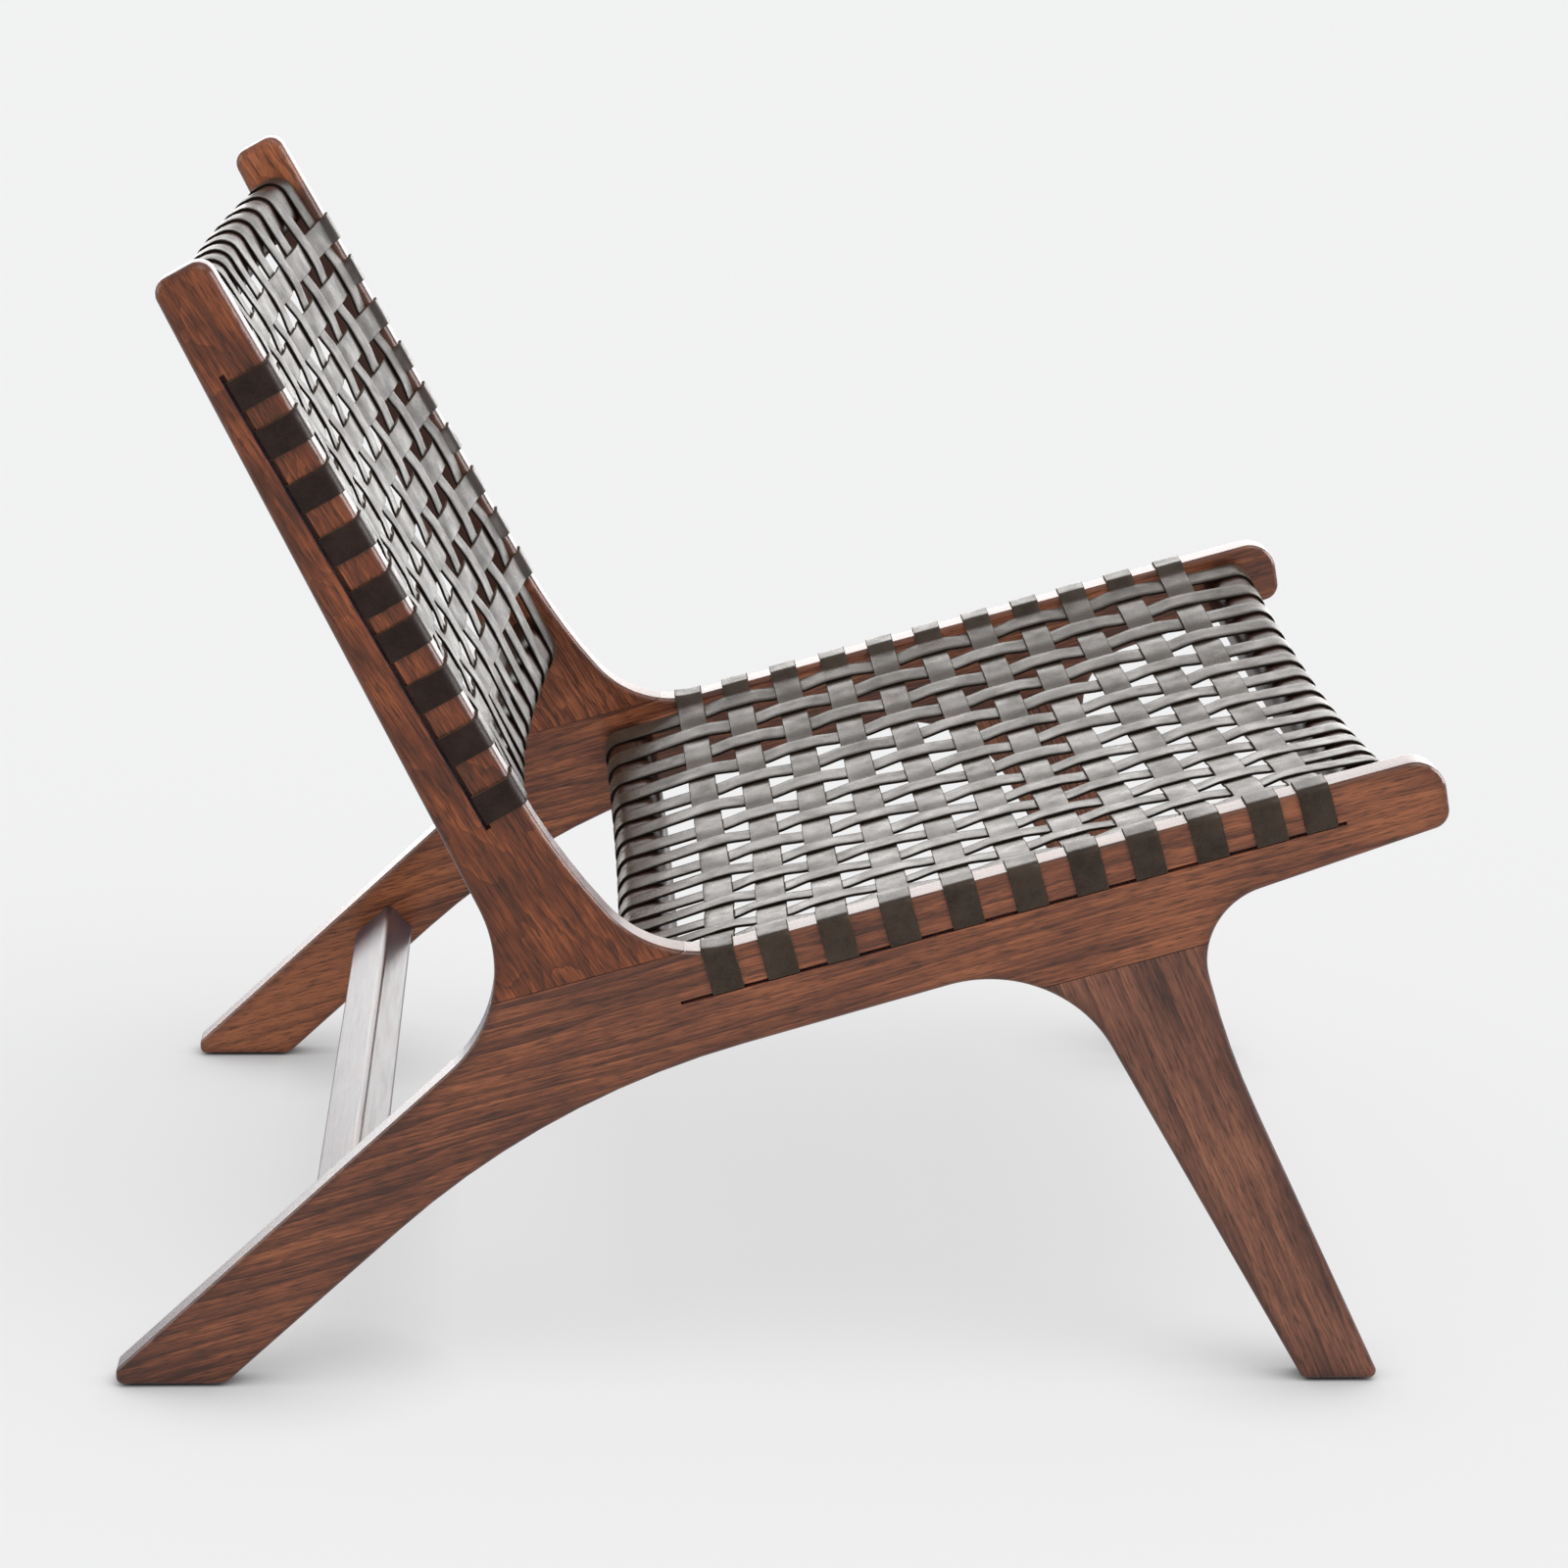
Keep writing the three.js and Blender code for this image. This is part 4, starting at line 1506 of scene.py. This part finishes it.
@dataclass
class Tacks:
    """Dome-headed tacks that hold the straps' tails under the rails."""

    head_radius: float = 3.0
    head_height: float = 1.4
    head_round: float = 1.0
    head_segments: int = 2
    head_deg: float = 60.0
    spread: float = 5.0
    inset: float = 4.0
    sides: int = 10
    smooth_deg: float = 50.0

    def build(self, weave: StrapWeave, rail: RailPlace, name: str, finish: Material) -> None:
        """Set two tacks in the tail of each strap under one rail.

        Args:
            weave: The panel whose straps end there.
            rail: The rail.
            name: The piece's name.
            finish: The tacks' material.
        """
        middle, under = sum(rail.along) / 2.0, rail.out[0] - weave.offset - weave.thickness / 2.0
        at_far_end = middle > sum(weave.cross_at) / len(weave.cross_at)
        a = middle + (self.inset if at_far_end else -self.inset)
        heads = [
            self._head(weave.slope, x + side, a, under)
            for x in weave.long_at for side in (-self.spread, self.spread)]
        only(heads[0])
        for head in heads:
            head.select_set(True)
        bpy.ops.object.join()
        piece = named(name)
        piece.data.materials.append(finish)
        smooth_edges(piece, self.smooth_deg)
        settle(piece, Slot.WOOD)

    def _head(self, slope: Slope, x: float, a: float, h: float) -> Object:
        """Make one tack's head, domed away from the strap.

        Args:
            slope: The slope that the strap lies on.
            x: The tack's place across the chair.
            a: Its place along the slope.
            h: The height of the strap's free face.

        Returns:
            The head.
        """
        head = added(
            "tack", bpy.ops.mesh.primitive_cylinder_add, vertices=self.sides,
            radius=self.head_radius, depth=self.head_height)
        modify(
            head, "BEVEL", width=self.head_round, segments=self.head_segments,
            limit_method="ANGLE", angle_limit=math.radians(self.head_deg))
        for vertex in head.data.vertices:
            across, along, up = vertex.co
            vertex.co = slope.place(x + across, a + along, h + min(up, 0.0))
        face_outwards(head)
        return head


@dataclass(frozen=True)
class Softbox:
    """A broad lit panel that only the varnish and the wax mirror."""

    name: str
    at: Triple
    aim: Triple
    size: tuple[float, float]
    brightness: float
    colour: str = "#fdfcfa"

    def build(self) -> None:
        """Hang the panel."""
        lamp = added(self.name, bpy.ops.object.light_add, type="AREA")
        lamp.location = self.at
        away = Vector(self.at) - Vector(self.aim)
        lamp.rotation_euler = away.to_track_quat("Z", "Y").to_euler()
        lamp.data.shape = "RECTANGLE"
        lamp.data.size, lamp.data.size_y = self.size
        lamp.data.color = linear(self.colour)[:3]
        lamp.data.energy = self.brightness * math.pi * self.size[0] * self.size[1]
        lamp.visible_camera = False
        lamp.visible_diffuse = False


@dataclass
class Studio:
    """A plain pale floor, soft light and the photograph's camera, in metres."""

    camera_at: Triple = (2.6677, -0.1284, 1.0025)
    pitch_deg: float = 15.0157
    yaw_deg: float = 3.1623
    roll_deg: float = -0.959
    focal_share: float = 4330.0 / 1600.0
    sensor_mm: float = 36.0
    view_reach: float = 200.0
    floor_colour: str = "#f2f2f2"
    floor_roughness: float = 0.9
    floor_half: float = 40.0
    floor_glow: float = 0.68
    floor_lift: float = 0.13
    painted_shadow_reach: float = 0.1
    painted_shadow_limits: Limits = (0.1, 0.96)
    fill: float = 0.6
    fill_tilt: float = 0.18
    fill_tint: tuple[float, float, float, float] = (0.97, 0.985, 1.0, 1.0)
    backdrop: float = 0.89
    softboxes: Sequence[Softbox] = (
        Softbox("far_softbox", (-2.4, -0.1, 0.85), (0.0, -0.1, 0.85), (3.4, 1.7), 3.4),
        Softbox("front_softbox", (0.0, 2.2, 1.2), (0.2, -0.1, 0.5), (1.4, 1.4), 12.0),
        Softbox("rear_softbox", (0.1, -2.3, 1.2), (0.3, -0.3, 0.5), (1.4, 1.4), 2.5),
    )
    key: float = 1.2
    key_angle_deg: float = 40.0
    key_from: Triple = (0.3, 0.25, 1.0)

    def build(self) -> None:
        """Set the camera, the floor and the lights."""
        self._camera()
        self._floor()
        self._world()
        for softbox in self.softboxes:
            softbox.build()
        self._key_light()
        bpy.context.scene.view_settings.view_transform = "Standard"

    def _camera(self) -> None:
        """Set the camera where the photograph was taken from."""
        pitch, yaw, roll = (math.radians(d) for d in (self.pitch_deg, self.yaw_deg, self.roll_deg))
        level_x, level_y = -math.cos(pitch) * math.cos(yaw), math.cos(pitch) * math.sin(yaw)
        ahead = Vector((level_x, level_y, -math.sin(pitch)))
        right = ahead.cross(Vector((0.0, 0.0, 1.0))).normalized()
        down = ahead.cross(right)
        across = math.cos(roll) * right + math.sin(roll) * down
        lower = math.cos(roll) * down - math.sin(roll) * right
        turn = Matrix((across, -lower, -ahead)).transposed().to_4x4()
        camera = added("photo_camera", bpy.ops.object.camera_add)
        camera.matrix_world = Matrix.Translation(self.camera_at) @ turn
        camera.data.sensor_width = self.sensor_mm
        camera.data.lens = self.sensor_mm * self.focal_share
        camera.data.clip_end = self.view_reach
        bpy.context.scene.camera = camera

    def _floor(self) -> None:
        """Lay a wide matt floor, the background too, whose glow dims near the feet as painted
        shadow.
        """
        floor = added("floor", bpy.ops.mesh.primitive_plane_add, size=2.0 * self.floor_half)
        material, tree, shader = new_material("matt_studio_floor")
        colour = linear(self.floor_colour)
        wire(tree, shader, {
            "Base Color": colour, "Roughness": self.floor_roughness, "Specular IOR Level": 0.0})
        # Ambient occlusion dims the floor's glow near the feet: a painted contact shadow.
        low, high = self.painted_shadow_limits
        strength = add_node(tree, "MapRange", {
            "Value": add_node(tree, "AmbientOcclusion", {"Distance": self.painted_shadow_reach}, "AO"),
            "From Min": low, "From Max": high, "To Max": self.backdrop + self.floor_lift})
        glow = add_node(tree, "Emission", {"Color": colour, "Strength": strength})
        share = add_node(
            tree, "Math", {0: self._seen(tree), 1: self.floor_glow}, operation="MULTIPLY")
        mixed = add_node(tree, "MixShader", {0: share, 1: shader.outputs["BSDF"], 2: glow})
        wire(tree, tree.nodes["Material Output"], {"Surface": mixed})
        floor.data.materials.append(material)
        floor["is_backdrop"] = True

    def _seen(self, tree: NodeTree) -> NodeSocket:
        """Tell rays that the camera, a reflection or glass sends out from those of the lighting.

        Args:
            tree: The node tree that asks.

        Returns:
            One for the former and none for the latter.
        """
        seen = add_node(tree, "LightPath", output="Is Camera Ray")
        for kind in ("Is Glossy Ray", "Is Transmission Ray"):
            ray = add_node(tree, "LightPath", output=kind)
            seen = add_node(tree, "Math", {0: seen, 1: ray}, operation="MAXIMUM")
        return seen

    def _world(self) -> None:
        """Light the room softly from all round, a little more from the front, and pale behind."""
        world = bpy.data.worlds.new("studio")
        bpy.context.scene.world = world
        world.use_nodes = True
        tree = world.node_tree
        aim = add_node(tree, "TexCoord", output="Generated")
        fill = add_node(tree, "MapRange", {
            "Value": add_node(tree, "SeparateXYZ", {"Vector": aim}, "Y"), "From Min": -1.0,
            "To Min": self.fill - self.fill_tilt, "To Max": self.fill + self.fill_tilt})
        strength = add_node(
            tree, "Mix", {"Factor": self._seen(tree), "A": fill, "B": self.backdrop})
        wire(tree, tree.nodes["Background"], {"Color": self.fill_tint, "Strength": strength})

    def _key_light(self) -> None:
        """Hang a broad soft lamp above the chair, a little towards the camera and the front."""
        lamp = added("key_light", bpy.ops.object.light_add, type="SUN")
        lamp.rotation_euler = Vector(self.key_from).to_track_quat("Z", "Y").to_euler()
        lamp.data.energy = self.key
        lamp.data.angle = math.radians(self.key_angle_deg)


@dataclass
class Chair:
    """The whole chair, put together from its sub-assemblies."""

    plan: Plan = Plan()
    rail_width: float = 34.0
    rail_thickness: float = 30.0
    rail_radius: float = 11.0
    rail_face: float = -8.2
    front_rail_end: float = 465.0
    rear_rail_at: float = -10.0
    top_rail_end: float = 452.0
    top_rail_thickness: float = 25.0
    bottom_rail_at: float = 61.0
    stretcher_at: float = 168.5
    stretcher_width: float = 36.0
    stretcher_out: Limits = (-44.0, -18.0)
    stretcher_radius: float = 4.0
    seat_first: float = 56.0
    seat_last: float = 413.5
    seat_cross_count: int = 11
    seat_long_count: int = 15
    seat_long_width: float = 22.5
    back_first: float = 129.5
    back_last: float = 403.0
    back_cross_count: int = 9
    back_long_count: int = 14
    back_long_width: float = 21.5
    back_outward: float = 4.0
    slot_overrun: float = 16.0
    seat_slot: Limits = (-1.2, 1.0)
    back_slot: Limits = (-2.6, 1.0)
    seat_drift: Sequence[float] = (0.0, -2.6, -3.5, -1.2, 2.0, 4.0, 3.6, 4.0, 5.8, 4.4, -1.7)
    back_drift: Sequence[float] = (-0.5, 3.9, 4.4, 5.1, 0.5, 0.6, 0.6, 2.5, 0.1)

    def places(self) -> dict[str, RailPlace]:
        """Find the place of every cross rail.

        Returns:
            The places, by the rails' CAD nodes.
        """
        seat, back, leg = self.plan.seat, self.plan.back, self.plan.rear_leg
        wide, thick, face, radius = (
            self.rail_width, self.rail_thickness, self.rail_face, self.rail_radius)
        front, rear, half = self.front_rail_end, self.rear_rail_at, self.stretcher_width / 2.0
        top, bottom, lath = self.top_rail_end, self.bottom_rail_at, self.top_rail_thickness
        return {
            "seat_front_rail": RailPlace(seat, (front - thick, front), (face - wide, face), radius),
            "seat_rear_rail": RailPlace(seat, (rear, rear + wide), (face - thick, face), radius),
            "back_top_rail": RailPlace(back, (top - wide, top), (face - lath, face), radius),
            "back_bottom_rail": RailPlace(
                back, (bottom, bottom + wide), (face - thick, face), radius),
            "rear_stretcher": RailPlace(
                leg, (self.stretcher_at - half, self.stretcher_at + half), self.stretcher_out,
                self.stretcher_radius),
        }

    @staticmethod
    def spread(first: float, last: float, count: int) -> list[float]:
        """Even places from first to last."""
        return [first + (last - first) * k / (count - 1) for k in range(count)]

    def weaves(self, places: dict[str, RailPlace]) -> tuple[StrapWeave, StrapWeave]:
        """Lay out the two woven panels.

        Args:
            places: The place of every cross rail.

        Returns:
            The seat and the back.
        """
        plan = self.plan
        seat = StrapWeave(
            plan, plan.seat, places["seat_rear_rail"], places["seat_front_rail"],
            "seat_long_strap", "seat_cross_strap", self.seat_long_count,
            self.spread(self.seat_first, self.seat_last, self.seat_cross_count),
            self.seat_drift, plan.elbow_rise, self.seat_long_width, plan.edge_radius)
        back = StrapWeave(
            plan, plan.back, places["back_bottom_rail"], places["back_top_rail"],
            "back_upright_strap", "back_cross_strap", self.back_long_count,
            self.spread(self.back_first, self.back_last, self.back_cross_count),
            self.back_drift, level, self.back_long_width, plan.post_edge_radius, self.back_outward)
        return seat, back

    def build(self) -> None:
        """Build every sub-assembly in order."""
        plan, places = self.plan, self.places()
        seat, back = self.weaves(places)
        seat_reach, back_reach = (w.cross_width / 2.0 + plan.slot_margin for w in (seat, back))
        seat_along = (
            seat.cross_at[0] - seat_reach - self.slot_overrun, seat.cross_at[-1] + seat_reach)
        back_along = (back.cross_at[0] - back_reach, back.cross_at[-1] + back_reach)
        slots = [(plan.seat, seat_along, self.seat_slot), (plan.back, back_along, self.back_slot)]
        SideFrames(plan, slots).build()
        CrossRails(plan, places).build()
        self._weave(seat, back)
        Glides(plan).build()
        # Blackened steel: nearly black, and dull where the blacking is thick.
        blackened = PlainFinish("blackened_tack", "#2a2521", "#4b4239", 0.5, metallic=1.0).build()
        for weave, node in (
                (seat, "seat_front_rail"), (seat, "seat_rear_rail"),
                (back, "back_top_rail"), (back, "back_bottom_rail")):
            Tacks().build(weave, places[node], node.replace("_rail", "_tacks"), blackened)

    def _weave(self, seat: StrapWeave, back: StrapWeave) -> None:
        """Weave both panels from waxed straps.

        The flesh side is bare and dull, and its near-black colour is partly painted shade for the
        gaps between the straps. The cut edges of the long straps are dyed dark and darkened further
        as painted shade; those of the straps across are left raw and paler.

        Args:
            seat: The seat.
            back: The back, whose leather is darker.
        """
        # The flesh side's near-black colour is partly painted shade for the gaps between the
        # straps.
        flesh = LeatherFinish("strap_flesh_side_and_shade", "#231a15", "#352a21", 0.8, bump=0.5).build()
        # The long straps' edges are dyed dark, and darker still as painted shade.
        cut = LeatherFinish(
            "dyed_and_shaded_strap_edge", "#120d0a", "#271e17", 0.85, grain_mm=0.8, blotch_mm=14.0, sheen=0.0)
        dyed_and_shaded_cut = cut.build()
        raw_cut = replace(
            cut, name="raw_strap_edge", dark="#241a13", light="#614e39", blotch_mm=9.0).build()
        seat_face = LeatherFinish("waxed_seat_leather", "#30261f", "#4d4138", 0.33).build()
        back_face = LeatherFinish("waxed_back_leather", "#1d1411", "#372823", 0.37).build()
        for weave, face in ((seat, seat_face), (back, back_face)):
            weave.build((face, flesh, dyed_and_shaded_cut), (face, flesh, raw_cut))


def main() -> None:
    """Build the studio and the chair, and find the sizes of both models."""
    logging.basicConfig(level=logging.INFO, format="%(name)s: %(message)s")
    Studio().build()
    Chair().build()
    boxes = {"cad": CAD_BOX, "visual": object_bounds()}
    {name: [list(corner) for corner in box] for name, box in boxes.items()}


if __name__ == "__main__":
    main()
